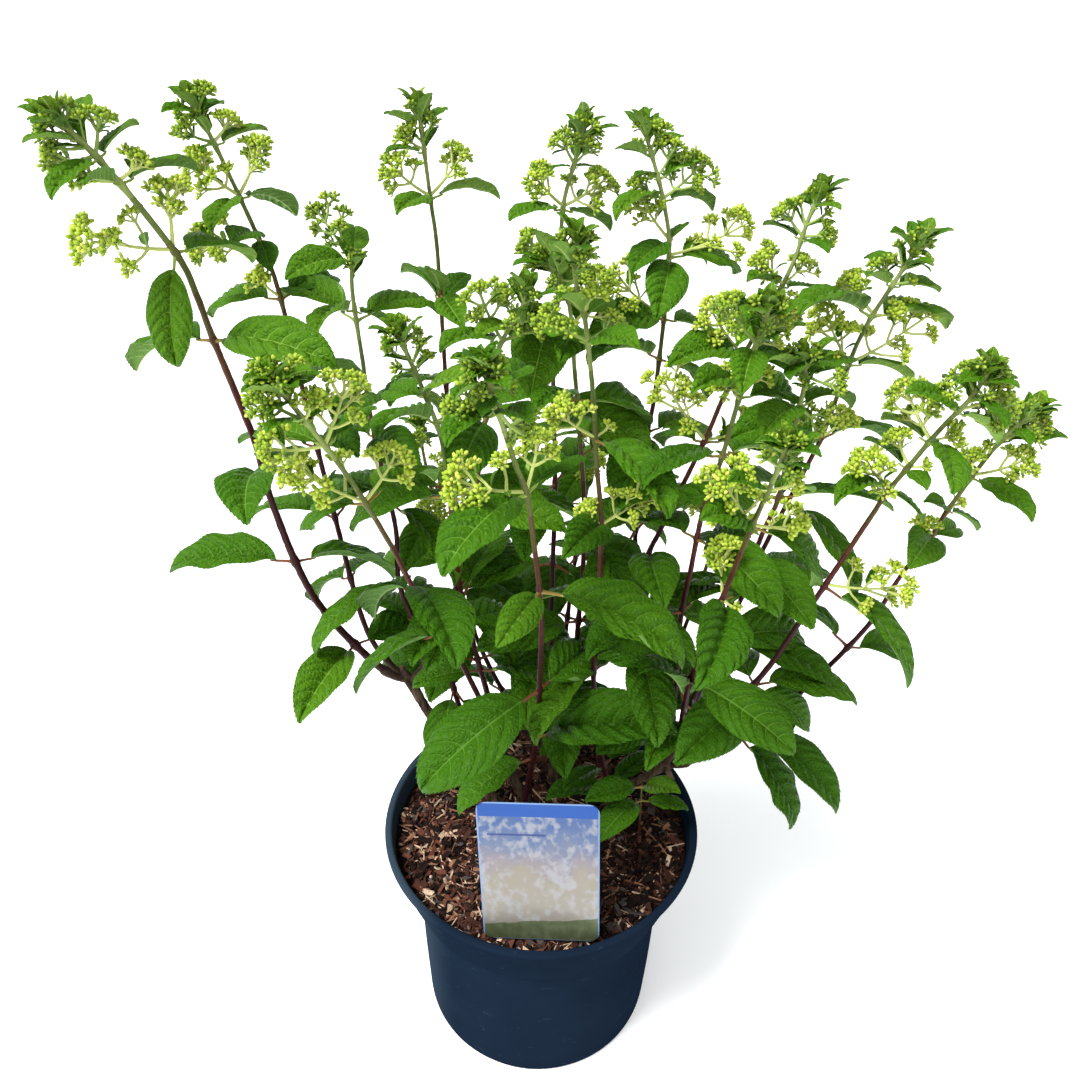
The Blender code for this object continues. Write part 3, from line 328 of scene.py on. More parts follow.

# The compost is composted bark: a low mound of dark crumbs under a loose layer of chips and
# slivers, brown to straw-coloured, as they fell, with most chips on the right darkened as painted shade.
chance = np.random.default_rng(11)
BED_REACH = 0.1219
bed_rows, bed_sides = 46, 150
bed_radius = BED_REACH * np.linspace(0.004, 1.0, bed_rows)
bed_turn = 2 * math.pi * np.arange(bed_sides) / bed_sides
bed = np.zeros((bed_rows, bed_sides, 3))
bed[..., 0] = bed_radius[:, None] * np.cos(bed_turn)
bed[..., 1] = bed_radius[:, None] * np.sin(bed_turn)


def mound(x, y):
    """height of the compost at a place: a low mound with soft hollows"""
    out = np.hypot(x, y) / BED_REACH
    hollows = np.sin(61 * x + 1.0) * np.sin(53 * y + 2.0) + 0.6 * np.sin(131 * x + 97 * y)
    return COMPOST_TOP + 0.0008 - 0.0012 * out ** 6 + 0.0009 * hollows


bed[..., 2] = mound(bed[..., 0], bed[..., 1]) + chance.normal(0.0, 0.0005, (bed_rows, bed_sides))
compost_dark = Finish("compost_dark", paint(26, 16, 12), 0.95, Specular_IOR_Level=0.05)
grains = compost_dark.noise(520.0, 4.0)
compost_dark.coat(compost_dark.blend(grains, paint(10, 6, 5), paint(48, 31, 24)))
compost_dark.relief(grains, 0.9, 0.0015)
bed_heap = Heap()
bed_heap.add(bed, (lattice(bed_rows, bed_sides, closed=True), 0), ([list(range(bed_sides))[::-1]], 0))
bed_piece = bed_heap.make("compost_bed", [compost_dark])
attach(bed_piece, "root")
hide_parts("compost")

CHIPS = 6400
SLIVERS = 0.14           # share of the chips
SHADED_CHIP_SHARE = 0.62              # share of the chips on the right side darkened as painted shade
BOX = np.array([(x, y, z) for z in (-1, 1) for y in (-1, 1) for x in (-1, 1)], float) / 2
BOX_FACES = np.array([(0, 2, 3, 1), (4, 5, 7, 6), (0, 1, 5, 4), (2, 6, 7, 3), (0, 4, 6, 2), (1, 3, 7, 5)])
sliver = chance.random(CHIPS) < SLIVERS
length = np.where(sliver, chance.uniform(0.008, 0.019, CHIPS),
                  np.clip(chance.lognormal(math.log(0.0052), 0.42, CHIPS), 0.0020, 0.0130))
width = np.where(sliver, chance.uniform(0.0007, 0.0015, CHIPS),
                 length * chance.uniform(0.28, 0.72, CHIPS))
thick = np.where(sliver, chance.uniform(0.0005, 0.0009, CHIPS), chance.uniform(0.0008, 0.0021, CHIPS))
away = (BED_REACH - 0.0012 - 0.45 * length) * np.sqrt(chance.random(CHIPS))
turn = chance.uniform(0, 2 * math.pi, CHIPS)
heading_of = chance.uniform(0, 2 * math.pi, CHIPS)
tilt = np.where(sliver, chance.normal(0, 0.12, CHIPS), chance.normal(0, 0.34, CHIPS))
bank = chance.normal(0, 0.45, CHIPS)
chips = np.repeat(BOX[None], CHIPS, axis=0)
chips += chance.uniform(-0.16, 0.16, chips.shape)
chips[..., 1:] *= 1.0 - 0.55 * np.abs(chips[..., :1]) * chance.uniform(0, 1.6, (CHIPS, 1, 1))
chips *= np.stack([length, width, thick], axis=1)[:, None, :]
for sine, cosine, first, second in ((np.sin(bank), np.cos(bank), 1, 2), (np.sin(tilt), np.cos(tilt), 0, 2),
                                    (np.sin(heading_of), np.cos(heading_of), 0, 1)):
    a, b = chips[..., first].copy(), chips[..., second].copy()
    chips[..., first] = cosine[:, None] * a - sine[:, None] * b
    chips[..., second] = sine[:, None] * a + cosine[:, None] * b
x, y = away * np.cos(turn), away * np.sin(turn)
lift = chance.uniform(-0.0008, 0.0030, CHIPS) + 0.30 * length * np.abs(np.sin(tilt))
chips += np.stack([x, y, mound(x, y) + lift], axis=1)[:, None, :]
CHIP_TONES = (("chip_black", (26, 16, 13), 0.30), ("chip_umber", (62, 38, 30), 0.27),
              ("chip_red", (92, 54, 42), 0.19), ("chip_tan", (134, 98, 76), 0.10),
              ("chip_straw", (196, 168, 142), 0.05), ("chip_grey", (74, 66, 64), 0.09))
bark_finishes = []
for name, colour, _ in CHIP_TONES:
    finish = Finish(name, paint(*colour), 0.82, Specular_IOR_Level=0.12)
    fibres = finish.noise(900.0, 3.0, finish.stretch(1.0, 0.35, 1.0))
    dull, bright = (paint(*(min(255, share * c) for c in colour)) for share in (0.62, 1.28))
    finish.coat(finish.blend(fibres, dull, bright))
    finish.relief(fibres, 0.8, 0.0008)
    bark_finishes.append(finish)
shares = np.array([share for _, _, share in CHIP_TONES])
tone = chance.choice(len(CHIP_TONES), CHIPS, p=shares / shares.sum())
tone[sliver] = chance.choice([2, 3, 4, 3, 4], sliver.sum())
# Painted shade: on the right side, where the foliage overhangs, most chips take a darker tone.
painted_shade_chips = (x > 0.02) & (y > -0.105) & (chance.random(CHIPS) < SHADED_CHIP_SHARE)
tone[painted_shade_chips] = np.array([0, 0, 1, 1, 3, 0])[tone[painted_shade_chips]]
chip_heap = Heap()
chip_faces = (np.arange(CHIPS)[:, None, None] * 8 + BOX_FACES[None]).reshape(-1, 4)
chip_heap.add(chips, (chip_faces, np.repeat(tone, 6)))
chip_piece = chip_heap.make("bark_chips", bark_finishes, smooth=False)
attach(chip_piece, "root")
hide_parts("compost")

# The plant label is a thin glossy plastic card with round corners, printed on its front, with a
# blue head and a pale picture field. Here the field holds only soft bands of the same colours.
CARD_WIDTH = 0.0875
CARD_HEIGHT = 0.1340
CARD_THICK = 0.0006
CARD_CORNER = 0.0080
card_pose = (Matrix.Translation((0.0016, -0.107, 0.203)) @ Matrix.Rotation(math.radians(-3.3), 4, "Z")
             @ Matrix.Rotation(math.radians(90.0 - 7.5), 4, "X")
             @ Matrix.Rotation(math.radians(2.9), 4, "Z"))
edge = []
for quarter, (across, along_card) in enumerate(((1, 1), (-1, 1), (-1, -1), (1, -1))):
    for step in range(9):
        a = math.radians(90.0 * quarter + 90.0 * step / 8)
        edge.append((across * (CARD_WIDTH / 2 - CARD_CORNER) + CARD_CORNER * math.cos(a),
                     CARD_HEIGHT / 2 + along_card * (CARD_HEIGHT / 2 - CARD_CORNER)
                     + CARD_CORNER * math.sin(a)))
edge = np.array(edge)
middle = np.array([0.0, CARD_HEIGHT / 2])
card_rings = []
for share, depth in ((0.02, -0.5), (0.5, -0.5), (0.985, -0.5), (1.0, -0.3), (1.0, 0.3), (0.985, 0.5),
                     (0.5, 0.5), (0.02, 0.5)):
    flat = middle + (edge - middle) * share
    card_rings.append(np.column_stack([flat, np.full(len(edge), depth * CARD_THICK)]))
card_local = np.array(card_rings).reshape(-1, 3)
card_local[:, 2] += 0.0006 * (np.abs(card_local[:, 0]) / (CARD_WIDTH / 2)) ** 2
card_world = card_local @ np.array(card_pose.to_3x3()).T + np.array(card_pose.translation)
card_heap = Heap()
rows = len(card_rings)
card_heap.add(card_world, (lattice(rows, len(edge), closed=True), 0),
              ([list(range(len(edge)))[::-1]], 0),
              ([list(range((rows - 1) * len(edge), rows * len(edge)))], 0))
card_print = Finish("card_print", paint(188, 180, 166), 0.30, Specular_IOR_Level=0.3)
card_place = card_print.add("UVMap", {"uv_map": "card"}, {})
card_x = card_print.add("SeparateXYZ", {}, {"Vector": card_place}, output=0)
card_y = card_print.add("SeparateXYZ", {}, {"Vector": card_place}, output=1)
cloud = card_print.noise(3.2, 5.0, card_place)
flecks = card_print.noise(15.0, 4.0, card_place)
wash = card_print.add("ValToRGB", {"stops": [
    (0.00, paint(108, 104, 98)), (0.22, paint(136, 131, 122)), (0.46, paint(130, 124, 112)),
    (0.58, paint(120, 114, 122)), (0.70, paint(86, 100, 128)), (0.86, paint(60, 84, 128))]},
    {0: card_y + (cloud - 0.5) * 0.50})
pale = card_print.add("MapRange", {"interpolation_type": "SMOOTHSTEP"},
                      {0: flecks * 0.55 + cloud * 0.45, 1: 0.46, 2: 0.60})
field = card_print.blend(pale * 0.75, wash, paint(146, 147, 150))
hill = card_y < 0.07 + 0.10 * cloud + 0.06 * card_x
turf = card_print.blend(flecks, paint(30, 48, 30), paint(92, 104, 62))
grassy = card_print.blend(hill * 0.85, field, turf)
rule = (card_y > 0.772) * (card_y < 0.786) * (card_x > 0.08) * (card_x < 0.56)
ruled = card_print.blend(rule * 0.85, grassy, paint(34, 50, 104))
headed = card_print.blend((card_y > 0.905) * 1.0, ruled, paint(22, 70, 142))
inner = (card_x > 0.012) * (card_x < 0.988) * (card_y > 0.008) * (card_y < 0.992)
bordered = card_print.blend(inner * 1.0, paint(108, 136, 174), headed)
card_print.coat(bordered)
card_print.relief(card_print.noise(30.0), 0.08, 0.001)
card = card_heap.make("label_card", [card_print])
marks = card.data.uv_layers.new(name="card")
corner_of = np.zeros(len(card.data.loops), int)
card.data.loops.foreach_get("vertex_index", corner_of)
on_card = np.column_stack([card_local[:, 0] / CARD_WIDTH + 0.5, card_local[:, 1] / CARD_HEIGHT])
marks.data.foreach_set("uv", on_card[corner_of].astype(np.float32).ravel())
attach(card, "root")
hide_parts("label")

# The label's stake is a flat dark strip of the same plastic behind the card, pushed into the
# compost. Its solid is the right shape, so it stays and takes this plastic.
stake_plastic = Finish("stake_plastic", paint(26, 30, 36), 0.45)
stake_plastic.relief(stake_plastic.noise(300.0, 3.0), 0.2, 0.0004)
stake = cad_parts["label_stake"]
stake.data.materials.clear()
stake.data.materials.append(stake_plastic.material)

# The shrub grows in 23 shoots, each on a curve given in millimetres. A node says how far along the
# shoot it is, then gives its two leaves and its flower stalks, each by azimuth, rise and length. A
# crown of small leaves ends a shoot, and spike is the size of the buds' spike at its tip.
SHOOTS = []


def add_shoot(start, curve, nodes, crown=(), thick=2.6, thin=1.9, cane=True, spike=1.0):
    """the next shoot; start is where it leaves the old wood, and thick and thin are its end radii"""
    SHOOTS.append(dict(number=len(SHOOTS) + 1, start=start, curve=curve, crown=crown, thick=thick, thin=thin,
                       cane=cane, spike=spike, nodes=[(at, near[:2], near[2:]) for at, *near in nodes]))


add_shoot(start=0.026, thick=3.6, thin=2.3,
    curve=[(-116, 28, 348), (-130, 26, 356), (-162, 22, 406), (-178, 16, 454), (-190, 10, 526),
           (-192, 6, 566), (-204, -2, 638), (-208, -6, 668), (-214, -10, 694), (-242, -18, 746),
           (-262, -26, 772)],
    nodes=[(0.096, (-110, -5, 90), (45, -15, 85)), (0.294, (-175, -5, 100), (25, -25, 85)),
           (0.459, (-85, 10, 90), (85, -25, 80)), (0.675, (-25, 0, 95), (150, -25, 90)),
           (0.799, (-105, -70, 70), (70, -20, 75), (-155, 10, 42), (95, 65, 30)),
           (0.893, (65, -5, 60), (-95, 15, 45), (30, 30, 16), (-155, 5, 18)),
           (0.927, (-105, -10, 50), (75, 15, 45), (-155, -10, 22), (65, 65, 20)),
           (0.952, (-125, 10, 35), (100, 25, 40), (-155, 5, 14), (145, 50, 16))],
    crown=[(175, 20, 24), (-100, 20, 28), (155, 80, 24)])
add_shoot(start=0.027,
    curve=[(-122, 42, 340), (-142, 46, 380), (-158, 56, 474), (-174, 68, 580), (-182, 76, 634),
           (-190, 80, 666), (-214, 90, 728), (-228, 94, 758)],
    nodes=[(0.203, (140, -45, 75), (80, -25, 75)), (0.322, (160, -10, 80), (65, 0, 80)),
           (0.451, (155, -10, 80), (-55, 20, 75)), (0.581, (55, -30, 75), (140, -5, 75)),
           (0.694, (155, -20, 75), (65, -5, 65), (-150, 45, 20)),
           (0.789, (-65, -15, 40), (-95, 15, 55), (-155, -10, 36)),
           (0.847, (-95, -5, 55), (65, -25, 60), (-150, 40, 32), (45, 50, 28)),
           (0.924, (-95, 5, 24), (50, 5, 45), (-155, 20, 20), (35, 40, 18)),
           (0.967, (-115, 15, 35), (70, 5, 30), (-155, -10, 12), (45, 55, 14))],
    crown=[(160, 30, 24), (-105, 40, 28), (80, 65, 24)])
add_shoot(start=0.037, spike=0.5,
    curve=[(-96, 34, 350), (-100, 38, 384), (-112, 42, 426), (-112, 46, 472), (-120, 52, 522),
           (-126, 56, 568), (-128, 60, 596), (-132, 66, 646), (-130, 70, 670)],
    nodes=[(0.117, (130, -20, 80), (-45, 30, 75)), (0.241, (-135, -20, 90), (40, -60, 100)),
           (0.45, (-45, -30, 85), (140, -10, 80)), (0.605, (120, -25, 75), (-55, 5, 70)),
           (0.683, (-95, 10, 75), (45, -20, 75)), (0.86, (50, -10, 80), (145, 0, 80)),
           (0.882, (-105, 5, 60), (65, -35, 50)), (0.981, (-130, 5, 60), (95, 15, 45), (150, 40, 34))],
    crown=[(160, 60, 24), (-55, 40, 28), (55, 45, 24)])
add_shoot(start=0.027,
    curve=[(-34, 6, 276), (-44, -8, 340), (-58, -24, 400), (-70, -36, 444), (-86, -50, 490),
           (-96, -66, 536), (-112, -90, 598), (-132, -120, 662), (-136, -130, 680)],
    nodes=[(0.402, (-170, -35, 85), (45, -25, 85)), (0.517, (-70, 5, 95), (135, -45, 85)),
           (0.727, (60, -15, 80), (135, -35, 80), (40, 40, 30), (-155, 35, 42)),
           (0.849, (145, -10, 60), (70, 0, 55), (-155, 0, 26), (50, 55, 32)),
           (0.901, (-110, 20, 40), (65, -5, 35), (-155, 35, 24), (-35, 55, 16)),
           (0.952, (-130, 25, 30), (65, 5, 30), (-145, 50, 16), (45, 50, 14))],
    crown=[(-120, 25, 24), (-30, 35, 28), (175, 65, 24)])
add_shoot(start=0.024,
    curve=[(-36, 40, 258), (-70, 68, 410), (-74, 82, 476), (-76, 96, 536), (-78, 106, 580), (-82, 124, 654),
           (-86, 132, 686), (-94, 150, 746)],
    nodes=[(0.168, (170, -20, 100), (25, -5, 95)), (0.313, (-50, -30, 90), (75, -20, 100)),
           (0.465, (-5, -5, 85), (165, -20, 85)), (0.623, (-120, 10, 75), (55, -20, 80)),
           (0.735, (130, 10, 60), (65, 15, 45)), (0.749, (-95, 45, 45), (-65, -10, 50)),
           (0.875, (-110, 5, 55), (30, -5, 60), (-155, 35, 30), (30, 40, 30)),
           (0.934, (-135, 10, 35), (75, 25, 30), (-155, 30, 16)),
           (0.963, (-130, 25, 40), (60, 15, 35), (35, 45, 8))],
    crown=[(170, 50, 24), (-45, 55, 28), (85, 40, 24)])
add_shoot(start=0.024,
    curve=[(2, 46, 248), (4, 52, 300), (4, 58, 360), (4, 68, 428), (4, 76, 496), (0, 92, 590), (2, 98, 630),
           (4, 108, 688), (10, 114, 714), (18, 120, 744)],
    nodes=[(0.104, (120, -10, 100), (-15, -10, 100)), (0.224, (-105, -10, 90), (90, 10, 105)),
           (0.36, (-10, -40, 105), (-170, -15, 90)), (0.496, (70, -5, 80), (-110, -20, 80)),
           (0.624, (165, -15, 80), (-30, -15, 90)), (0.759, (-105, -25, 90), (70, -10, 85)),
           (0.883, (-130, 5, 55), (40, -25, 55), (-155, 40, 26), (25, 20, 32)),
           (0.937, (-140, 5, 22), (40, -10, 24), (-145, 55, 20), (30, 35, 14)),
           (0.973, (-115, 40, 24), (40, 5, 22), (-130, 65, 10), (20, -10, 12))],
    crown=[(-105, 70, 24), (0, 20, 28), (95, 50, 24)])
add_shoot(start=0, thick=2.7,
    curve=[(61, 12, 188), (60, 10, 226), (50, 8, 268), (42, 4, 316), (36, 2, 376), (36, -4, 436),
           (34, -10, 516), (28, -14, 568), (24, -18, 612), (16, -24, 668), (10, -26, 690), (10, -30, 718)],
    nodes=[(0.1, (-160, 10, 65), (40, 10, 55)), (0.152, (-130, 15, 55), (55, -15, 70)),
           (0.355, (-125, -15, 80), (65, -25, 85)), (0.498, (-35, -15, 90), (150, -30, 80)),
           (0.617, (40, 10, 80), (-115, 10, 65), (25, 20, 36), (-155, 45, 18)),
           (0.745, (120, -30, 90), (-60, -10, 85), (-155, 35, 30), (25, 25, 12)),
           (0.87, (-55, 20, 55), (125, -10, 50), (25, 25, 20), (-155, 30, 26)),
           (0.904, (55, 0, 35), (-120, 35, 40), (-50, 65, 14), (155, 30, 14)),
           (0.958, (60, 10, 30), (-125, 40, 35), (-30, 40, 12), (150, 35, 12))],
    crown=[(175, 60, 24), (-80, 25, 28), (30, 60, 24)])
add_shoot(start=0, thick=2.9,
    curve=[(-14, 12, 188), (-14, 10, 224), (-6, -12, 320), (-4, -48, 448), (-6, -66, 504), (-10, -84, 554),
           (-14, -100, 596), (-20, -112, 622), (-28, -130, 662), (-34, -150, 696)],
    nodes=[(0.193, (-150, -20, 80), (40, -25, 55)), (0.251, (120, -10, 70), (-20, 20, 125)),
           (0.379, (-145, -25, 120), (60, -15, 85)), (0.606, (-20, -15, 110), (-115, -5, 60)),
           (0.789, (-120, -5, 85), (60, -10, 70), (-155, 15, 38), (60, 60, 26)),
           (0.921, (-120, 5, 50), (-60, 20, 40), (-155, 15, 22), (35, -55, 22)),
           (0.958, (-120, 15, 35), (60, -5, 40), (-155, 20, 12), (20, -15, 10)),
           (0.984, (-115, 40, 30), (75, 5, 22), (-155, 25, 8), (25, 5, 8))],
    crown=[(-145, 35, 24), (-65, 15, 28), (10, 80, 24)])
add_shoot(start=0.024,
    curve=[(102, 28, 262), (86, 40, 324), (74, 54, 396), (66, 66, 454), (68, 76, 500), (70, 84, 536),
           (74, 92, 566), (78, 114, 650), (72, 124, 690), (54, 140, 740)],
    nodes=[(0.083, (-140, -5, 70), (60, -15, 85)), (0.28, (-45, -50, 95), (150, 20, 100)),
           (0.414, (50, -5, 100), (-120, -25, 90)), (0.568, (45, -25, 85), (-110, -20, 85)),
           (0.675, (-135, 15, 80), (40, -40, 75)), (0.731, (-145, 5, 75), (35, -30, 70), (-155, 35, 46)),
           (0.814, (-100, -15, 75), (35, -20, 80), (-100, -65, 8), (20, 10, 54)),
           (0.835, (-120, -5, 60), (60, 10, 35), (150, 40, 28)),
           (0.889, (-130, 0, 60), (40, -15, 60), (-160, 25, 22), (25, 30, 32)),
           (0.918, (30, 15, 45), (-135, 15, 30), (35, 50, 22)),
           (0.951, (-145, 15, 35), (45, 15, 35), (-160, 25, 10), (50, 60, 16))],
    crown=[(140, 30, 24), (-120, 45, 28), (65, 60, 24)])
add_shoot(start=0.026,
    curve=[(94, 12, 284), (74, 18, 354), (66, 26, 414), (72, 30, 464), (80, 34, 486), (104, 42, 552),
           (114, 48, 582), (124, 52, 610), (140, 58, 646), (150, 62, 672), (156, 66, 698), (164, 70, 718)],
    nodes=[(0.083, (-145, 5, 65), (50, -10, 75)), (0.239, (-80, -20, 95), (145, -30, 70)),
           (0.403, (-90, 10, 85), (115, -80, 90)), (0.506, (25, -15, 80), (-155, -15, 90)),
           (0.609, (110, -30, 80), (25, -25, 80), (-150, 50, 64), (20, 0, 42)),
           (0.745, (-140, 10, 75), (35, -25, 70), (-150, 45, 42), (25, 30, 26)),
           (0.821, (-125, -10, 50), (40, -25, 45), (-160, -10, 18), (20, -20, 18)),
           (0.856, (-135, 20, 45), (35, -15, 45), (-155, 40, 24), (25, 35, 20)),
           (0.924, (120, 0, 40), (-75, 5, 35), (145, 40, 20), (-25, 10, 16)),
           (0.967, (105, 5, 24), (-70, 15, 30), (140, 50, 8), (-25, 20, 8))],
    crown=[(-10, 40, 24), (75, 20, 28), (-145, 80, 24)])
add_shoot(start=0.03,
    curve=[(100, 2, 294), (98, -4, 366), (94, -10, 438), (96, -14, 486), (98, -20, 538), (104, -26, 580),
           (110, -32, 638), (116, -40, 686)],
    nodes=[(0.096, (95, -5, 60), (-115, 10, 75)), (0.386, (-140, 5, 100), (55, -25, 90)),
           (0.554, (-50, -10, 85), (125, -25, 85)), (0.728, (40, -25, 85), (-140, 5, 80)),
           (0.834, (-130, 25, 70), (45, -20, 70), (-155, 40, 22), (30, 35, 18)),
           (0.922, (-110, -10, 50), (40, 5, 45), (-155, 45, 30), (20, 40, 18)),
           (0.974, (-130, 20, 35), (45, -5, 30), (-155, 35, 12), (25, 30, 10))],
    crown=[(-105, 50, 24), (-5, 30, 28), (120, 70, 24)])
add_shoot(start=0.027,
    curve=[(116, 26, 276), (124, 30, 336), (148, 36, 432), (156, 38, 466), (178, 44, 534), (186, 46, 562),
           (198, 52, 624), (214, 56, 662), (230, 60, 694)],
    nodes=[(0.256, (125, -20, 95), (-30, -5, 100)), (0.366, (-155, 10, 90), (35, -10, 95)),
           (0.542, (-60, -25, 90), (105, -25, 90)), (0.66, (35, -20, 90), (-155, 15, 90), (-30, 50, 22)),
           (0.783, (-125, 15, 60), (20, -20, 65), (-155, 50, 40), (20, 20, 52)),
           (0.861, (-145, 15, 85), (30, -15, 85), (145, 40, 24), (-25, 5, 14)),
           (0.911, (-140, 25, 40), (25, -10, 45), (145, 40, 14), (-25, 15, 12)),
           (0.942, (125, -5, 35), (-75, 25, 30), (155, 5, 8), (-55, 65, 8)),
           (0.965, (-150, 35, 35), (35, -20, 24), (-150, 50, 12), (20, 10, 8))],
    crown=[(-5, 30, 24), (90, 30, 28), (-85, 70, 24)])
add_shoot(start=0.033,
    curve=[(110, 14, 292), (116, 8, 354), (122, 4, 404), (138, -6, 490), (142, -10, 518), (146, -14, 542),
           (146, -18, 570), (146, -20, 594), (146, -26, 630), (140, -30, 652)],
    nodes=[(0.309, (30, -15, 100), (160, 35, 80)), (0.549, (105, -25, 80), (-70, -5, 80)),
           (0.699, (155, -25, 90), (0, -5, 85)),
           (0.887, (-125, 5, 60), (40, -15, 60), (-155, -30, 18), (25, -45, 22)),
           (0.948, (-140, 30, 50), (45, -10, 45), (150, 40, 12), (-25, -15, 20)),
           (0.979, (-120, 0, 30), (40, -10, 24), (-155, 35, 12), (25, 25, 10))],
    crown=[(-120, 40, 24), (0, 55, 28), (155, 70, 24)])
add_shoot(start=0.03, thick=3.0,
    curve=[(116, 4, 278), (140, -2, 336), (154, -6, 372), (166, -12, 408), (176, -16, 444), (186, -20, 478),
           (202, -28, 538), (208, -32, 562), (214, -36, 580), (226, -40, 610), (236, -46, 634),
           (240, -50, 656)],
    nodes=[(0.24, (-130, -5, 100), (0, -35, 70)), (0.26, (-5, -5, 85), (90, -25, 75)),
           (0.53, (135, -30, 80), (-35, -35, 95), (-25, 10, 46)),
           (0.748, (-145, 10, 60), (5, -40, 40), (-155, 40, 34)),
           (0.796, (120, 5, 40), (-80, 5, 30), (135, 50, 20), (-25, 10, 10)),
           (0.848, (-95, 0, 60), (105, -10, 55), (-25, 25, 14), (135, 45, 32)),
           (0.912, (-150, 25, 55), (20, -35, 50), (-160, 35, 20), (20, 5, 24)),
           (0.944, (100, -5, 35), (-80, 0, 40), (135, 50, 14), (-35, -35, 22)),
           (0.976, (30, -10, 30), (-145, 10, 28), (-155, 45, 12), (25, 30, 10))],
    crown=[(-160, 65, 24), (-60, 20, 28), (40, 55, 24)])
add_shoot(start=0.032,
    curve=[(128, 8, 280), (162, 8, 316), (182, 8, 338), (202, 8, 364), (234, 8, 422), (248, 10, 464),
           (262, 10, 500), (268, 10, 522), (288, 10, 574), (308, 10, 602)],
    nodes=[(0.101, (-45, -45, 95), (75, -10, 60)), (0.133, (-35, -25, 100), (-85, 30, 60)),
           (0.212, (-90, 10, 40), (60, 0, 55)), (0.414, (140, 0, 90), (20, -30, 75)),
           (0.698, (-125, 10, 65), (40, -15, 45), (-155, 45, 16)),
           (0.759, (20, -35, 40), (-150, 30, 35), (20, 10, 8)),
           (0.832, (-70, 0, 60), (105, -5, 45), (-150, 55, 20), (-30, 30, 30)),
           (0.908, (-150, 40, 50), (15, 0, 55), (-160, -20, 10), (20, 10, 26)),
           (0.945, (100, 15, 35), (-90, 0, 26), (-155, 40, 18), (20, 10, 12))],
    crown=[(-45, 40, 24), (30, 5, 28), (70, 75, 24)])
add_shoot(start=0.033,
    curve=[(104, -10, 312), (102, -34, 404), (108, -66, 500), (112, -94, 574), (114, -118, 624),
           (114, -126, 642), (112, -130, 650)],
    nodes=[(0.169, (-145, 50, 85), (30, -65, 80)), (0.264, (-40, -10, 95), (140, -15, 95)),
           (0.546, (-105, 0, 95), (50, -35, 85), (100, 60, 28), (-35, -30, 10)),
           (0.766, (-140, 30, 60), (25, -45, 80), (-150, 50, 40), (20, -20, 28)),
           (0.864, (-145, 30, 40), (30, -15, 40), (-160, 25, 18), (20, 0, 14)),
           (0.927, (110, -5, 20), (-70, 30, 30), (-160, 35, 12), (20, 15, 10))],
    crown=[(-145, 30, 24), (-60, 25, 28), (130, 80, 24)])
add_shoot(start=0.03,
    curve=[(-62, 34, 274), (-76, 34, 358), (-62, 32, 460), (-54, 32, 500), (-44, 32, 572), (-40, 30, 600),
           (-34, 30, 626), (-20, 30, 652), (-18, 30, 666)],
    nodes=[(0.134, (-95, -35, 75), (-25, -70, 90)), (0.388, (-105, -10, 85), (65, -5, 95)),
           (0.572, (0, -5, 85), (175, -5, 80)), (0.753, (75, -30, 90), (-105, -5, 80)),
           (0.891, (-125, 15, 65), (45, 0, 60), (-135, 60, 36), (25, 10, 28)),
           (0.93, (55, 0, 35), (-125, 5, 40), (140, 50, 16), (-20, 5, 12))],
    crown=[(-145, 60, 24), (-30, 30, 28), (80, 55, 24)])
add_shoot(start=0.029,
    curve=[(20, 34, 266), (22, 36, 326), (26, 40, 470), (18, 44, 566), (14, 46, 602), (8, 48, 650),
           (-8, 50, 678)],
    nodes=[(0.144, (65, -10, 105), (-95, -10, 90)), (0.311, (-160, -5, 90), (45, -30, 85)),
           (0.489, (-50, -30, 80), (85, -30, 80)), (0.652, (50, -5, 80), (-145, -15, 90)),
           (0.754, (35, -30, 80), (-120, 15, 70)), (0.874, (-100, 5, 65), (80, -5, 70), (30, 40, 32)),
           (0.947, (-130, 55, 55), (60, -5, 50), (150, 35, 28), (-20, 5, 18)),
           (0.979, (-150, 10, 30), (60, 10, 24), (-165, -15, 10), (35, 40, 8))],
    crown=[(-175, 25, 24), (-75, 55, 28), (115, 50, 24)])
add_shoot(start=0.03,
    curve=[(-32, 32, 262), (-50, 22, 358), (-62, 14, 434), (-66, 6, 500), (-68, -2, 552), (-72, -8, 588),
           (-88, -18, 644), (-94, -20, 658)],
    nodes=[(0.242, (-165, -10, 60), (-30, 5, 85)), (0.432, (-120, -10, 75), (70, 0, 100)),
           (0.666, (-20, -5, 90), (170, -25, 85)), (0.816, (-115, 20, 70), (70, -30, 70), (-25, 40, 22)),
           (0.869, (130, -20, 55), (-50, 30, 60)),
           (0.916, (55, 15, 24), (-120, 10, 24), (-155, 10, 12), (30, 35, 12)),
           (0.962, (-120, 30, 22), (65, 10, 20), (-155, 0, 10), (30, 25, 12))],
    crown=[(-145, 30, 24), (-35, 55, 28), (135, 50, 24)])
add_shoot(start=0, thick=1.3, thin=0.9, cane=False,
    curve=[(84, -4, 188), (82, -6, 214), (78, -22, 280)],
    nodes=[(0.742, (-130, 0, 60), (-15, 5, 42)), (0.985, (-50, 35, 50), (-160, 5, 54))])
add_shoot(start=0.042,
    curve=[(12, 62, 258), (16, 92, 320), (26, 140, 400), (38, 182, 465), (44, 200, 505)],
    nodes=[(0.14, (60, -15, 90), (-145, -15, 70)), (0.34, (155, -15, 95), (-25, -15, 90)),
           (0.52, (-120, -15, 90), (60, -15, 85)), (0.68, (-20, -15, 85), (160, -15, 80)),
           (0.8, (60, -15, 70), (-120, -15, 65), (80, 25, 30), (-100, 25, 36)),
           (0.89, (160, -15, 45), (-20, -15, 40), (-180, 25, 24), (0, 25, 20)),
           (0.95, (-115, -15, 30), (65, -15, 28), (-95, 25, 12), (85, 25, 12))],
    crown=[(70, 30, 24), (165, 40, 28), (-10, 60, 24)])
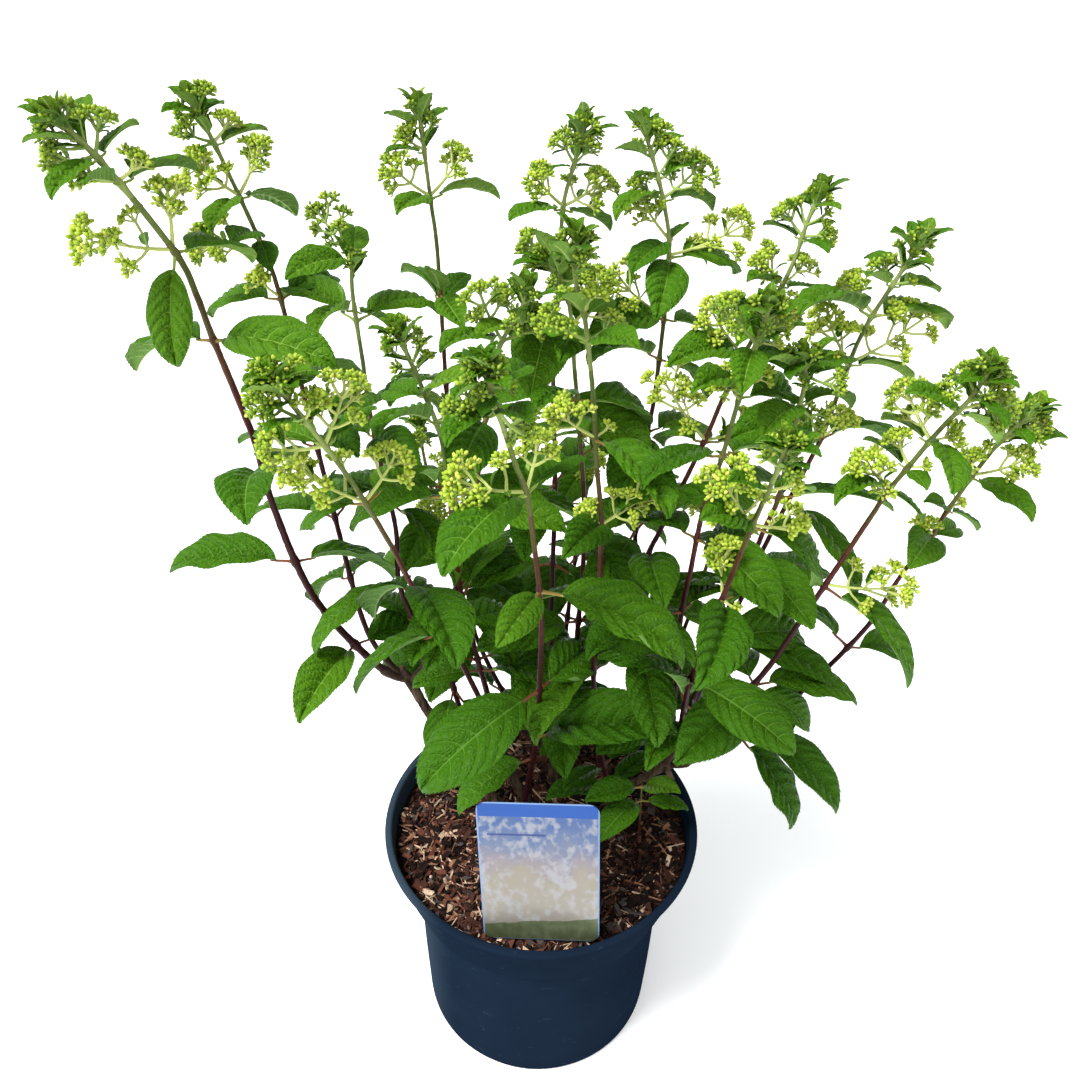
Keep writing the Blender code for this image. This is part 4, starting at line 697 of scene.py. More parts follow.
add_shoot(start=0.041,
    curve=[(-14, 62, 250), (-34, 74, 284), (-58, 92, 330), (-86, 134, 395), (-104, 172, 450),
           (-112, 190, 490)],
    nodes=[(0.15, (150, -15, 90), (-20, -15, 65)), (0.36, (-115, -15, 85), (65, 5, 90)),
           (0.55, (-30, -15, 90), (150, -15, 85)),
           (0.71, (70, -15, 80), (-110, -15, 75), (90, 25, 32), (-90, 25, 26)),
           (0.83, (150, -15, 60), (-30, -15, 55), (170, 25, 24), (-10, 25, 22)),
           (0.92, (-110, -15, 35), (70, -15, 35), (-90, 25, 14), (90, 25, 12))],
    crown=[(110, 30, 24), (-150, 45, 28), (35, 60, 24)])
add_shoot(start=0.042,
    curve=[(34, 60, 250), (62, 68, 284), (104, 80, 320), (132, 120, 380), (150, 160, 430), (160, 180, 462)],
    nodes=[(0.18, (10, -15, 95), (-170, 0, 75)), (0.42, (105, -15, 95), (-60, -15, 90)),
           (0.62, (-170, -15, 85), (10, -15, 80)),
           (0.78, (-70, -15, 70), (110, -15, 65), (-50, 25, 30), (130, 25, 28)),
           (0.9, (10, -15, 40), (-170, -15, 35), (30, 25, 16), (-150, 25, 14))],
    crown=[(65, 20, 24), (155, 45, 28), (0, 55, 24)])


def unit(v):
    v = np.asarray(v, float)
    return v / max(np.linalg.norm(v), 1e-12)


def spline(points, steps=8):
    """smooth curve through the points, evenly stepped between each two"""
    p = np.asarray(points, float) / 1000
    e = np.vstack([2 * p[0] - p[1], p, 2 * p[-1] - p[-2]])
    out = []
    for i in range(1, len(e) - 2):
        a, b, c, d = e[i - 1:i + 3]
        for k in range(steps):
            t = k / steps
            out.append(0.5 * (2 * b + (c - a) * t + (2 * a - 5 * b + 4 * c - d) * t * t
                              + (3 * b - a - 3 * c + d) * t ** 3))
    out.append(p[-1])
    return np.array(out)


def lengths(curve):
    return np.r_[0, np.cumsum(np.linalg.norm(np.diff(curve, axis=0), axis=1))]


def along(curve, t):
    """point and heading at a fraction of the curve's length"""
    run = lengths(curve)
    s = min(max(t, 0.0), 1.0) * run[-1]
    i = min(max(int(np.searchsorted(run, s)) - 1, 0), len(run) - 2)
    f = (s - run[i]) / max(run[i + 1] - run[i], 1e-9)
    return curve[i] + (curve[i + 1] - curve[i]) * f, unit(curve[i + 1] - curve[i])


def stretch_of(curve, first, last, step):
    """evenly spaced points of the curve between two fractions, with their fractions"""
    run = lengths(curve)
    marks = np.linspace(first, last, max(2, round((last - first) * run[-1] / step) + 1))
    at = np.array([np.interp(marks * run[-1], run, curve[:, k]) for k in range(3)]).T
    return at, marks


def rod(heap, path, radii, sides, slot=0, capped=False):
    """rings of corners across a path and the faces between; radii one for each ring or corner"""
    path = np.asarray(path, float)
    way = np.gradient(path, axis=0)
    way /= np.linalg.norm(way, axis=1)[:, None]
    whole = unit(path[-1] - path[0])
    side = np.cross(way, (1.0, 0.0, 0.0) if abs(whole[0]) < 0.75 else (0.0, 1.0, 0.0))
    side /= np.linalg.norm(side, axis=1)[:, None]
    other = np.cross(way, side)
    turn = 2 * math.pi * np.arange(sides) / sides
    radii = np.asarray(radii, float)
    if radii.ndim == 1:
        radii = np.broadcast_to(radii[:, None], (len(path), sides))
    rings = path[:, None] + radii[..., None] * (np.cos(turn)[None, :, None] * side[:, None]
                                                + np.sin(turn)[None, :, None] * other[:, None])
    slots = np.repeat(np.broadcast_to(slot, len(path) - 1), sides)
    groups = [(lattice(len(path), sides, closed=True), slots)]
    if capped:
        last = (len(path) - 1) * sides
        groups.append(([list(range(sides))[::-1]], slots[0]))
        groups.append(([[last + k for k in range(sides)]], slots[-1]))
    heap.add(rings, *groups)


for shoot in SHOOTS:
    shoot["line"] = spline(shoot["curve"])
by_number = {shoot["number"]: shoot for shoot in SHOOTS}

# The old wood is grey-brown and knobbly, cut back to short stubs, and each fork carries last year's
# canes. Limbs are grown together into one skin, and then ridged along their length.
OLD_WOOD = [
    dict(name="old_wood_left", trunk=[(-30, 25, 188), (-62, 30, 235), (-94, 33, 300), (-108, 33, 336)],
         radii=[6.5, 6.0, 5.2, 4.8], carries=[1, 2, 3],
         stubs=[[(-108, 33, 336), (-113, 30, 353)], [(-56, 29, 226), (-72, 27, 262)]]),
    dict(name="old_wood_right", trunk=[(47, 30, 188), (76, 27, 226), (101, 16, 262)],
         radii=[5.6, 5.2, 5.0], carries=[9, 10, 11, 12, 13, 14, 15, 16],
         stubs=[[(101, 16, 262), (113, 0, 247)]]),
    dict(name="old_wood_middle", trunk=[(-8, 30, 188), (-22, 30, 220), (-36, 28, 246)],
         radii=[6.0, 5.5, 5.0], carries=[4, 5, 17, 19],
         stubs=[]),
    dict(name="old_wood_back", trunk=[(10, 54, 188), (10, 54, 212), (10, 52, 234)],
         radii=[6.5, 6.0, 5.2], carries=[6, 18, 21, 22, 23],
         stubs=[]),
]
bark = Finish("old_bark", paint(102, 84, 70), 0.88, Specular_IOR_Level=0.10)
strands = bark.noise(260.0, 6.0, bark.stretch(1.0, 1.0, 0.22))
weathered = bark.add("MapRange", {}, {0: strands, 1: 0.36, 2: 0.66})
patches = bark.noise(90.0, 3.0)
bark_brown = bark.blend(weathered, paint(28, 20, 15), paint(104, 84, 66))
bark.coat(bark.blend(patches * 0.35, bark_brown, paint(74, 66, 54)))
bark.relief(strands, 0.9, 0.0012)
cut_wood = Finish("cut_wood", paint(124, 98, 76), 0.85, Specular_IOR_Level=0.2)
young_bark = Finish("young_bark", paint(60, 43, 37), 0.62, Specular_IOR_Level=0.12)
young_bark.relief(young_bark.noise(420.0, 4.0, young_bark.stretch(1.0, 1.0, 0.3)), 0.7, 0.0007)
cut_wood.relief(cut_wood.noise(1500.0, 2.0), 0.4, 0.0004)
GRAIN = 0.0010           # size of the bark's mesh
RIDGE = 0.00045          # how far the bark's ridges stand out
YOUNG = 0.0085           # from the fork, where the arms' younger bark begins
STUB_RADII = np.linspace(0.0031, 0.0024, 9)
ARM_RADIUS = 0.0031
for wood in OLD_WOOD:
    trunk = np.array(wood["trunk"], float) / 1000
    limbs = Heap()
    body = spline(wood["trunk"], 10)
    knots = lengths(trunk) / lengths(trunk)[-1]
    spots = lengths(body) / lengths(body)[-1]
    crowded = len(wood["carries"]) > 5
    thickness = (0.66 if crowded else 0.78) * np.interp(spots, knots, wood["radii"]) / 1000
    thickness = thickness * (1.0 + 0.22 * np.exp(-((spots - 1.0) / 0.10) ** 2)
                             + 0.22 * np.exp(-(spots / 0.07) ** 2))
    rod(limbs, body, thickness, 16, capped=True)
    arm_root = 0.80 if crowded else 1.15
    for number in wood["carries"]:
        shoot = by_number[number]
        end, way = along(shoot["line"], shoot["start"])
        elbow = end - way * np.linalg.norm(end - shoot["line"][0])
        r = shoot["thick"] / 1000
        arm = spline(np.array([trunk[-1], elbow, end + way * 0.0015]) * 1000, 8)
        rod(limbs, arm, np.linspace(min(ARM_RADIUS, arm_root * r), 1.02 * r, len(arm))
            + 0.0006 * np.exp(-((np.arange(len(arm)) - len(arm) + 3) / 1.5) ** 2), 12, capped=True)
    stubs = np.array(wood["stubs"], float).reshape(-1, 2, 3)
    stubs[:, 1] -= (0.45 if crowded else 0.0) * (stubs[:, 1] - stubs[:, 0])
    for stub in stubs:
        rod(limbs, spline(stub, 8), STUB_RADII, 14, capped=True)
    rough = limbs.make("rough", [bark])
    remesh = rough.modifiers.new("grow_together", "REMESH")
    remesh.mode = "VOXEL"
    remesh.voxel_size = GRAIN
    soften = rough.modifiers.new("soften", "SMOOTH")
    soften.iterations = 6
    grown = bpy.data.meshes.new_from_object(rough.evaluated_get(bpy.context.evaluated_depsgraph_get()))
    bpy.data.objects.remove(rough)
    count = len(grown.vertices)
    at = np.zeros(count * 3, np.float32)
    out = np.zeros(count * 3, np.float32)
    grown.vertices.foreach_get("co", at)
    grown.vertices.foreach_get("normal", out)
    at, out = at.reshape(-1, 3), out.reshape(-1, 3)
    ridge = np.array([noise.fractal(Vector((p[0] * 520, p[1] * 520, p[2] * 70)), 0.9, 2.1, 3)
                      for p in at.tolist()])
    at = at + out * (RIDGE * ridge)[:, None]
    grown.vertices.foreach_set("co", at.astype(np.float32).ravel())
    grown.materials.clear()
    for finish in (bark, cut_wood, young_bark):
        grown.materials.append(finish.material)
    for face in grown.polygons:
        from_fork = Vector(face.center) - Vector(trunk[-1])
        if from_fork.length > YOUNG + 0.0018 * ridge[face.vertices[0]] and from_fork.z > 0.001:
            face.material_index = 2
        for foot, end in stubs / 1000:
            way = unit(end - foot)
            off = np.array(face.center) - end
            if abs(off @ way) < 0.0012 and abs(np.array(face.normal) @ way) > 0.75 \
                    and np.linalg.norm(off) < 0.006:
                face.material_index = 1
    grown.shade_smooth()
    grown.update()
    old = bpy.data.objects.new("bark_" + wood["name"], grown)
    bpy.context.scene.collection.objects.link(old)
    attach(old, "root")
    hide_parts(wood["name"])

# A shoot's stem is last year's cane below, thin-skinned and dark purple-red, and greens towards its
# flowers. It swells at each pair of leaves, with a scar line round it and small raised pores.
STEM_COLOURS = (((54, 36, 30), 0.50), ((48, 18, 20), 0.36), ((60, 21, 21), 0.34), ((70, 30, 24), 0.34),
                ((78, 46, 29), 0.36), ((80, 66, 34), 0.38), ((84, 88, 41), 0.40), ((94, 107, 52), 0.42),
                ((124, 137, 76), 0.44))
STEM_TONES = []
for k, (colour, roughness) in enumerate(STEM_COLOURS):
    finish = Finish(f"stem_skin_{k}", paint(*colour), roughness, Specular_IOR_Level=0.12)
    pores = finish.noise(1100.0, 2.0, finish.stretch(1.0, 1.0, 0.45))
    streaks = finish.noise(500.0, 3.0, finish.stretch(1.0, 1.0, 0.08))
    dull, bright = ((*(min(1.0, share * c) for c in paint(*colour)[:3]), 1.0) for share in (0.66, 1.45))
    finish.coat(finish.blend(streaks, dull, bright))
    finish.relief(pores * 0.6 + streaks, 0.35, 0.0004)
    STEM_TONES.append(finish)
STEM_SIDES = 9
STEM_STEP = 0.0032
SWELLING = 0.42          # of the radius, at each pair of leaves
GREEN_FROM = 0.42        # how far up its length a shoot begins to green
GREEN_OVER = 0.46
cane_heap = Heap()
stem_heap = Heap()
chance = np.random.default_rng(5)


def stem_radius(shoot, t):
    """taper from foot to tip, with a swelling at each pair of leaves"""
    t = np.asarray(t, float)
    run = lengths(shoot["line"])[-1]
    radius = (0.88 - 0.19 * t) * (shoot["thick"] * (1 - t) + shoot["thin"] * t) / 1000
    swell = np.zeros_like(t)
    for node in shoot["nodes"]:
        off = (t - node[0]) * run
        swell = np.maximum(swell, np.exp(-((off - 0.0004) / 0.0032) ** 2))
        swell = swell - 0.25 * np.exp(-((off + 0.0030) / 0.0007) ** 2)
    return radius * (1.0 + SWELLING * swell)


for shoot in SHOOTS:
    run = lengths(shoot["line"])[-1]
    joint = shoot["nodes"][0][0] - 0.008 / run
    tint = chance.uniform(-0.05, 0.05)
    spans = [(cane_heap, shoot["start"], joint)] if shoot["cane"] else []
    spans.append((stem_heap, joint if shoot["cane"] else 0.0, 1.0))
    for heap, first, last in spans:
        path, marks = stretch_of(shoot["line"], first, last, STEM_STEP)
        radii = stem_radius(shoot, marks)
        knobs = 1.0 + 0.035 * chance.standard_normal((len(path), STEM_SIDES))
        middles = (marks[:-1] + marks[1:]) / 2
        green = (middles - GREEN_FROM - tint) / GREEN_OVER
        if not shoot["cane"]:
            green = middles * 0.4 + 0.35
        tones = np.clip(np.round(1 + 7 * green), 1, len(STEM_TONES) - 1).astype(int)
        tones[(middles < 0.06) & (shoot["start"] > 0)] = 0
        rod(heap, path, radii[:, None] * knobs, STEM_SIDES, tones, capped=True)
canes = cane_heap.make("cane_stems", STEM_TONES)
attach(canes, "root")
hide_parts(*[f"cane_{shoot['number']:02d}" for shoot in SHOOTS if shoot["cane"]])
SHOOT_NODES = [f"shoot_{shoot['number']:02d}" for shoot in SHOOTS]
stems = stem_heap.make("shoot_stems", STEM_TONES)
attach(stems, "root")
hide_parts(*SHOOT_NODES)

# The leaves stand in opposite pairs on short stalks: pointed ovals, finely toothed, arched along
# and across, and quilted between the sunken side veins, with painted shade on each quilt's falling slope,
# and a paler, ribbed underside.
LEAF_CHORD = 0.92        # straight reach of an arched leaf, as a part of its length
LEAF_WIDTH = 0.445
PETIOLE = 0.14           # the stalk's share of the length
SMALL_LEAF = 0.058
TIP_DROOP = 0.30
RIPPLES = 3.1            # along the margin
SWAY = 0.05
BLADE_DEPTH = 0.0044     # thickness, as a part of the length
TOOTH_LEAN = 0.88


def heading(azimuth, rise):
    a, e = math.radians(azimuth), math.radians(rise)
    return np.array([math.cos(e) * math.cos(a), math.cos(e) * math.sin(a), math.sin(e)])


def leaf_bend(length, number, row, side):
    """turn about its own line, and arch from root to tip"""
    roll = 1.7 * math.radians((number * 7 + row * 37 + side * 53) % 31 - 15)
    arch = 0.75 + 0.45 * ((number * 5 + row * 13 + side * 29) % 17) / 17
    return roll, (arch if length > SMALL_LEAF else 0.55)


def leaf_axes(azimuth, rise, stem, roll):
    line = heading(azimuth, rise)
    upright = unit(0.8 * np.array([0, 0, 1.0]) + 0.3 * stem)
    up = upright - (upright @ line) * line
    if np.linalg.norm(up) < 0.15:
        up = stem - (stem @ line) * line
    up = unit(up)
    side = np.cross(line, up)
    return (line, math.cos(roll) * up + math.sin(roll) * side,
            math.cos(roll) * side - math.sin(roll) * up)


def half_width(s):
    """the blade's outline, as a part of its greatest half width"""
    return 2.914 * np.clip(s, 0, 1) ** 0.7 * np.clip(1 - s, 0, 1) ** 0.86


class BladePlan:
    """A flat leaf's rows and columns, worked out once and bent into place for each leaf."""

    def __init__(self, veins, pillow_rows, columns, teeth, strip=0.0035):
        rows = [(0.005, 0, 0.0)]
        if strip:
            rows += [(0.013, 0, 0.2), (0.024, 0, 0.2)]
        first, last = 0.040, 0.79 if veins > 4 else 0.72
        gaps = np.linspace(first, last, veins)
        for i, r in enumerate(gaps):
            rows += [(r, -1, 0.0), (r, 1, 0.0)] if strip else [(r, 0, 0.0)]
            after = gaps[i + 1] if i + 1 < veins else 0.975
            steps = pillow_rows if i + 1 < veins else pillow_rows + (strip > 0)
            for k in range(1, steps + 1):
                rows.append((r + (after - r) * k / (steps + 1), 0, 1.0 if i + 1 < veins else 0.7))
        rows.append((0.990, 0, 0.0))
        row, sign, pillow = np.array(rows).T
        self.columns = np.array(columns)
        c = self.columns[None, :]
        r = row[:, None] + sign[:, None] * strip * (1 - 0.8 * c)
        sweep = (1 - np.exp(-r / 0.10)) * (1 - r) ** 0.9
        self.s = r + 0.42 * c ** 1.8 * sweep
        rib = 0.035 * (1 - 0.8 * self.s)
        self.x = rib + np.maximum(half_width(self.s) - rib, 0.0) * c
        shape = np.sin(math.pi * 0.95 * c) * (1 - 0.5 * c ** 4)
        self.pillow = pillow[:, None] * shape
        self.rows, self.across = self.s.shape
        self.is_vein = np.repeat((sign[:-1] == -1) & (sign[1:] == 1), self.across - 1)
        # faces where the quilting falls towards the next vein; they take painted shade
        self.shaded_falls = np.repeat(pillow[1:] < pillow[:-1], self.across - 1)
        right = lattice(self.rows, self.across)
        self.right, self.left = right, right[:, [0, 3, 2, 1]]
        start = np.arange(self.rows - 1) * self.across
        size = self.rows * self.across
        self.rib = np.stack([start + size, start, start + self.across, start + self.across + size], axis=1)
        keel = 2 * size + np.arange(self.rows - 1)
        after = start + self.across
        self.keel = np.concatenate([np.stack([start, keel, keel + 1, after], axis=1),
                                    np.stack([start + size, after + size, keel + 1, keel], axis=1)])
        if teeth:
            edge = np.stack([self.s[:, -1] / 0.5, self.x[:, -1] * 0.27], axis=1)
            run = np.r_[0, np.cumsum(np.linalg.norm(np.diff(edge, axis=0), axis=1))]
            marks = np.linspace(run[1], run[-1] * 0.985, teeth + 1)
            points = np.stack([marks[:-1], marks[1:], marks[:-1] + TOOTH_LEAN * np.diff(marks)])
            index = np.clip(np.searchsorted(run, points, side="right") - 1, 0, self.rows - 2)
            self.tooth_row = index
            self.tooth_share = (points - run[index]) / (run[index + 1] - run[index])
        self.teeth = teeth


def lay_blade(heap, plan, root, axes, length, arch, wide, fold, cup, ripple, phase, pillow, slots):
    """bends the plan into one leaf; its slots are for top, painted shade on the top's falling slopes, vein,
    underside and rib
    """
    line, up, side = axes
    half_arch = arch / 2
    bow = LEAF_CHORD * length / (2 * math.sin(half_arch))
    reach = 0.5 * LEAF_WIDTH * length * wide

    def bend(s, x, z, hand):
        turn = arch * (0.5 - (PETIOLE + (1 - PETIOLE) * s))
        slope = fold - cup * x
        out = (math.sin(fold) - np.sin(slope)) / cup - z / reach * np.sin(slope)
        z = reach * (np.cos(slope) - math.cos(fold)) / cup + z * np.cos(slope)
        z = z + reach * ripple * x ** 2 * np.sin(2 * math.pi * RIPPLES * s + phase + hand)
        z = z - length * TIP_DROOP * np.clip(s - 0.72, 0, 1) ** 2
        sway = length * SWAY * math.sin(phase) * s ** 2
        way = bow * (math.sin(half_arch) - np.sin(turn)) - z * np.sin(turn)
        rise = bow * (np.cos(turn) - math.cos(half_arch)) + z * np.cos(turn)
        return (root + way[..., None] * line + rise[..., None] * up
                + (hand * out * reach + sway)[..., None] * side)

    relief = pillow * length * plan.pillow - 0.0002 * (plan.columns == 0)
    tops = [bend(plan.s, plan.x, relief, hand) for hand in (1, -1)]
    top, low, vein, under, rib = slots
    # Painted shade: top faces on the quilting's falling slopes take the low slot, the next darker top
    # colour.
    veins = np.where(plan.is_vein, vein, np.where(plan.shaded_falls, low, top))
    heap.add(np.concatenate([part.reshape(-1, 3) for part in tops]),
             (plan.right, veins), (plan.left + plan.rows * plan.across, veins), (plan.rib, vein))
    deep = relief - (BLADE_DEPTH * length + 0.0001) * (1 - plan.columns ** 4)
    lows = [bend(plan.s, plan.x, deep, hand) for hand in (1, -1)]
    centre = plan.s[:, 0]
    keel = bend(centre, 0 * centre, -length * (0.016 - 0.010 * centre), 1)
    unders = np.where(plan.is_vein, rib, under)
    heap.add(np.concatenate([part.reshape(-1, 3) for part in (*lows, keel)]),
             (plan.left, unders), (plan.right + plan.rows * plan.across, unders), (plan.keel, rib))
    if not plan.teeth:
        return
    for hand, part in zip((1, -1), tops):
        edge, within = part[:, -1], part[:, -2]
        low_row, share = plan.tooth_row, plan.tooth_share[..., None]
        at = edge[low_row] * (1 - share) + edge[low_row + 1] * share
        out = edge[low_row[2]] - within[low_row[2]]
        out /= np.maximum(np.linalg.norm(out, axis=1), 1e-9)[:, None]
        forward = at[1] - at[0]
        size = np.linalg.norm(forward, axis=1)[:, None]
        at[2] += 0.42 * size * out + 0.12 * forward
        faces = np.arange(plan.teeth)[:, None] + np.array([0, plan.teeth, 2 * plan.teeth])
        heap.add(at.reshape(-1, 3), (faces if hand < 0 else faces[:, ::-1], top))


LEAF_TOPS = ((53, 95, 11), (60, 103, 13), (66, 109, 15), (71, 112, 16), (78, 117, 20), (90, 127, 28),
             (118, 149, 34), (140, 166, 44))
leaf_finishes = []


def leaf_skin(name, colour, roughness, cells, depth):
    """plain leaf colour, with the net of small veins only as relief"""
    skin = Finish(name, paint(*colour), roughness, Specular_IOR_Level=0.085)
    net = skin.add("TexVoronoi", {"feature": "DISTANCE_TO_EDGE"}, {"Vector": skin.place(), "Scale": cells})
    skin.set(skin.shader.inputs["Roughness"], roughness - 0.06 + 0.12 * skin.noise(240.0))
    skin.relief(net * 1.3 + skin.noise(700.0) * 0.12 + skin.noise(190.0, 3.0) * 0.5, depth, 0.0017)
    leaf_finishes.append(skin)
    return len(leaf_finishes) - 1


TOPS = [leaf_skin(f"leaf_top_{k}", colour, 0.41, 310.0, 0.80) for k, colour in enumerate(LEAF_TOPS)]
VEINS = [leaf_skin(f"leaf_vein_{k}", colour, 0.50, 700.0, 0.1) for k, colour in enumerate(
    ((74, 114, 32), (92, 130, 44), (112, 147, 56), (134, 164, 72)))]
UNDERS = [leaf_skin(f"leaf_under_{k}", colour, 0.62, 420.0, 0.3) for k, colour in enumerate(
    ((84, 120, 58), (102, 138, 66), (124, 158, 72), (112, 146, 42)))]
RIBS = [leaf_skin(f"leaf_rib_{k}", colour, 0.55, 700.0, 0.1) for k, colour in enumerate(
    ((136, 162, 96), (160, 184, 106)))]
PETIOLES = [leaf_skin(f"leaf_stalk_{k}", colour, 0.48, 700.0, 0.1) for k, colour in enumerate(
    ((112, 70, 46), (134, 116, 58), (136, 158, 70)))]
VEIN_OF_TOP = (0, 1, 1, 2, 2, 3, 3, 3)
OLDEST, YOUNGEST, BRACT = 0, 5, 7
FOLD = 0.36, 0.95        # angle of each half of the blade at the midrib, in radians
RIPPLE = 0.03, 0.09      # of the half width, at the margin
QUILTING = 0.026, 0.037  # of the length, between two side veins
large_plan = BladePlan(7, 2, (0, 0.18, 0.45, 0.75, 1.0), 26)
small_plan = BladePlan(5, 1, (0, 0.30, 0.68, 1.0), 14, strip=0.0)
bract_plan = BladePlan(2, 1, (0, 0.5, 1.0), 0, strip=0.0)
chance = np.random.default_rng(3)
leaf_heaps = [Heap() for _ in range(4)]
small_heap = Heap()


def bow_through(start, bend, end, count):
    """a bowed path from start to end, drawn towards the bend between them"""
    steps = np.linspace(0, 1, count)[:, None]
    return (1 - steps) ** 2 * start + 2 * steps * (1 - steps) * bend + steps ** 2 * end


def stalk_to_blade(heap, root, axes, length, arch, stem, slot):
    """the leaf's own stalk: from the stem's swelling it bows out to the blade's base"""
    line, up, _ = axes
    half_arch = arch / 2
    bow = LEAF_CHORD * length / (2 * math.sin(half_arch))
    ends = []
    for part in (PETIOLE, PETIOLE + 0.05):
        turn = arch * (0.5 - part)
        ends.append(root + bow * ((math.sin(half_arch) - math.sin(turn)) * line
                                  + (math.cos(turn) - math.cos(half_arch)) * up)
                    - (0.0010 + 0.004 * length) * up)
    neck, beyond = ends
    bowed = (root + neck) / 2 + 0.10 * np.linalg.norm(neck - root) * (stem - 0.4 * up)
    path = bow_through(root, bowed, neck, 5)
    size = 0.45 + 0.55 * length / 0.08
    rod(heap, np.vstack([path, beyond]),
        size * np.array([0.00175, 0.00125, 0.00100, 0.00095, 0.00095, 0.00060]), 6, slot)


def grow_leaf(heap, plan, root, azimuth, rise, length, stem, roll, arch, age, wide=1.0, stalked=True):
    """one leaf with its stalk; age is 0 for the oldest and 1 for the youngest"""
    axes = leaf_axes(azimuth, rise, stem, roll)
    tone = int(np.clip(age * 2.4 + chance.normal(1.25, 0.95), OLDEST, YOUNGEST if age <= 1 else BRACT))
    under = int(np.clip(age * 2 + chance.uniform(0, 1.0), 0, 2 if age <= 1 else 3))
    # the second slot, one top colour darker, is painted shade for the quilting's falling slopes
    slots = (TOPS[tone], TOPS[max(tone - 1, 0)], VEINS[VEIN_OF_TOP[tone]], UNDERS[under],
             RIBS[min(under, 1)])
    fold = chance.uniform(*FOLD)
    lay_blade(heap, plan, root, axes, length, arch, wide * chance.uniform(0.90, 1.05), fold,
              fold * chance.uniform(0.9, 1.7), chance.uniform(*RIPPLE),
              chance.uniform(0, 2 * math.pi), chance.uniform(*QUILTING), slots)
    if stalked:
        stalk_to_blade(heap, root, axes, length, arch, stem, PETIOLES[int(np.clip(age * 3.2, 0, 2))])


laid = 0
for shoot in SHOOTS:
    for row, (t, leaves, _) in enumerate(shoot["nodes"]):
        at, up = along(shoot["line"], t)
        for side, (azimuth, rise, reach) in enumerate(leaves):
            length = reach / 1000
            roll, arch = leaf_bend(length, shoot["number"], row, side)
            age = np.clip((t - 0.1) / 0.9, 0, 1) ** 1.6 if shoot["cane"] else 0.45
            if length < 0.045:
                grow_leaf(small_heap, small_plan, at, azimuth, rise, length, up, roll, arch, age)
            else:
                grow_leaf(leaf_heaps[laid % 4], large_plan, at, azimuth, rise, length, up, roll, arch, age)
                laid += 1
    tip, up = along(shoot["line"], 1.0)
    for k, (azimuth, rise, reach) in enumerate(shoot["crown"]):
        grow_leaf(small_heap, small_plan, tip - up * (0.010 + 0.004 * k), azimuth, rise, reach / 1000, up,
                  0.0, 0.55, 0.85)
for k, heap in enumerate(leaf_heaps):
    leaves_made = heap.make(f"leaves_{k + 1}", leaf_finishes)
    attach(leaves_made, "root")
    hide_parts(*SHOOT_NODES)

# The flowers are still in bud: pale green stalks that fork and fork again into flat heads of round
# yellow-green buds, with small narrow leaves among them, densest at the shoot's tip.
flower_finishes = []


def flower_skin(name, colour, roughness):
    skin = Finish(name, paint(*colour), roughness, Specular_IOR_Level=0.12)
    skin.relief(skin.noise(1600.0), 0.2, 0.0003)
    flower_finishes.append(skin)
    return len(flower_finishes) - 1


STALKS = [flower_skin("flower_stalk_green", (142, 166, 84), 0.5),
          flower_skin("flower_stalk_pale", (184, 194, 110), 0.5)]
BUDS = [flower_skin(f"bud_{k}", colour, 0.38) for k, colour in enumerate(
    ((110, 138, 44), (142, 166, 50), (166, 187, 62), (194, 204, 90)))]
gold = (1 + math.sqrt(5)) / 2
BALL = np.array([(-1, gold, 0), (1, gold, 0), (-1, -gold, 0), (1, -gold, 0), (0, -1, gold), (0, 1, gold),
                 (0, -1, -gold), (0, 1, -gold), (gold, 0, -1), (gold, 0, 1), (-gold, 0, -1), (-gold, 0, 1)])
BALL /= np.linalg.norm(BALL[0])
BALL_FACES = np.array([(0, 11, 5), (0, 5, 1), (0, 1, 7), (0, 7, 10), (0, 10, 11), (1, 5, 9), (5, 11, 4),
                       (11, 10, 2), (10, 7, 6), (7, 1, 8), (3, 9, 4), (3, 4, 2), (3, 2, 6), (3, 6, 8),
                       (3, 8, 9), (4, 9, 5), (2, 4, 11), (6, 2, 10), (8, 6, 7), (9, 8, 1)])
chance = np.random.default_rng(17)
stalk_heap = Heap()
buds = []
BUD_RADIUS = 0.00090, 0.00136
TUFT_REACH = 0.0030, 0.0062
TUFT_RADIUS = 0.0027, 0.0038
TUFT_BUDS = 5, 9
UP = np.array([0.0, 0.0, 1.0])


def round_about(way, tilt, turn):
    """a direction tilted away from this one, turned round it"""
    side = unit(np.cross(way, (0.31, 0.22, 0.92)))
    other = np.cross(way, side)
    return math.cos(tilt) * way + math.sin(tilt) * (math.cos(turn) * side + math.sin(turn) * other)


def bud_cluster(hub, way, radius, count, slot, ripe):
    """buds packed in a small dome on short stalks from one point"""
    turn = chance.uniform(0, 2 * math.pi)
    for k in range(count):
        tilt = 1.20 * math.sqrt((k + 0.4) / count) + chance.uniform(-0.10, 0.10)
        out = round_about(way, tilt, turn + 2.4 * k)
        size = chance.uniform(*BUD_RADIUS) * (0.80 + 0.26 * ripe)
        tip = hub + out * (radius - size) * chance.uniform(0.76, 1.04)
        rod(stalk_heap, [hub, tip], [0.00060, 0.00058], 3, slot)
        tone = int(np.clip(chance.normal(0.4 + 2.0 * ripe, 0.8), 0, len(BUDS) - 1))
        buds.append((tip + out * size * 1.2, size, out, tone))


def tufts(tip, way, count, slot, ripe):
    """a ray's end forks into thin stalks of unlike length, each with a few buds"""
    turn = chance.uniform(0, 2 * math.pi)
    for k in range(count):
        tilt = chance.uniform(0.35, 1.0)
        out = round_about(way, tilt, turn + 2 * math.pi * k / count + chance.uniform(-0.5, 0.5))
        hub = tip + out * chance.uniform(*TUFT_REACH)
        rod(stalk_heap, [tip, hub], [0.00068, 0.00058], 4, slot)
        radius = chance.uniform(*TUFT_RADIUS)
        bud_cluster(hub, unit(out + 0.6 * UP), radius, int(chance.integers(*TUFT_BUDS)), slot, ripe)


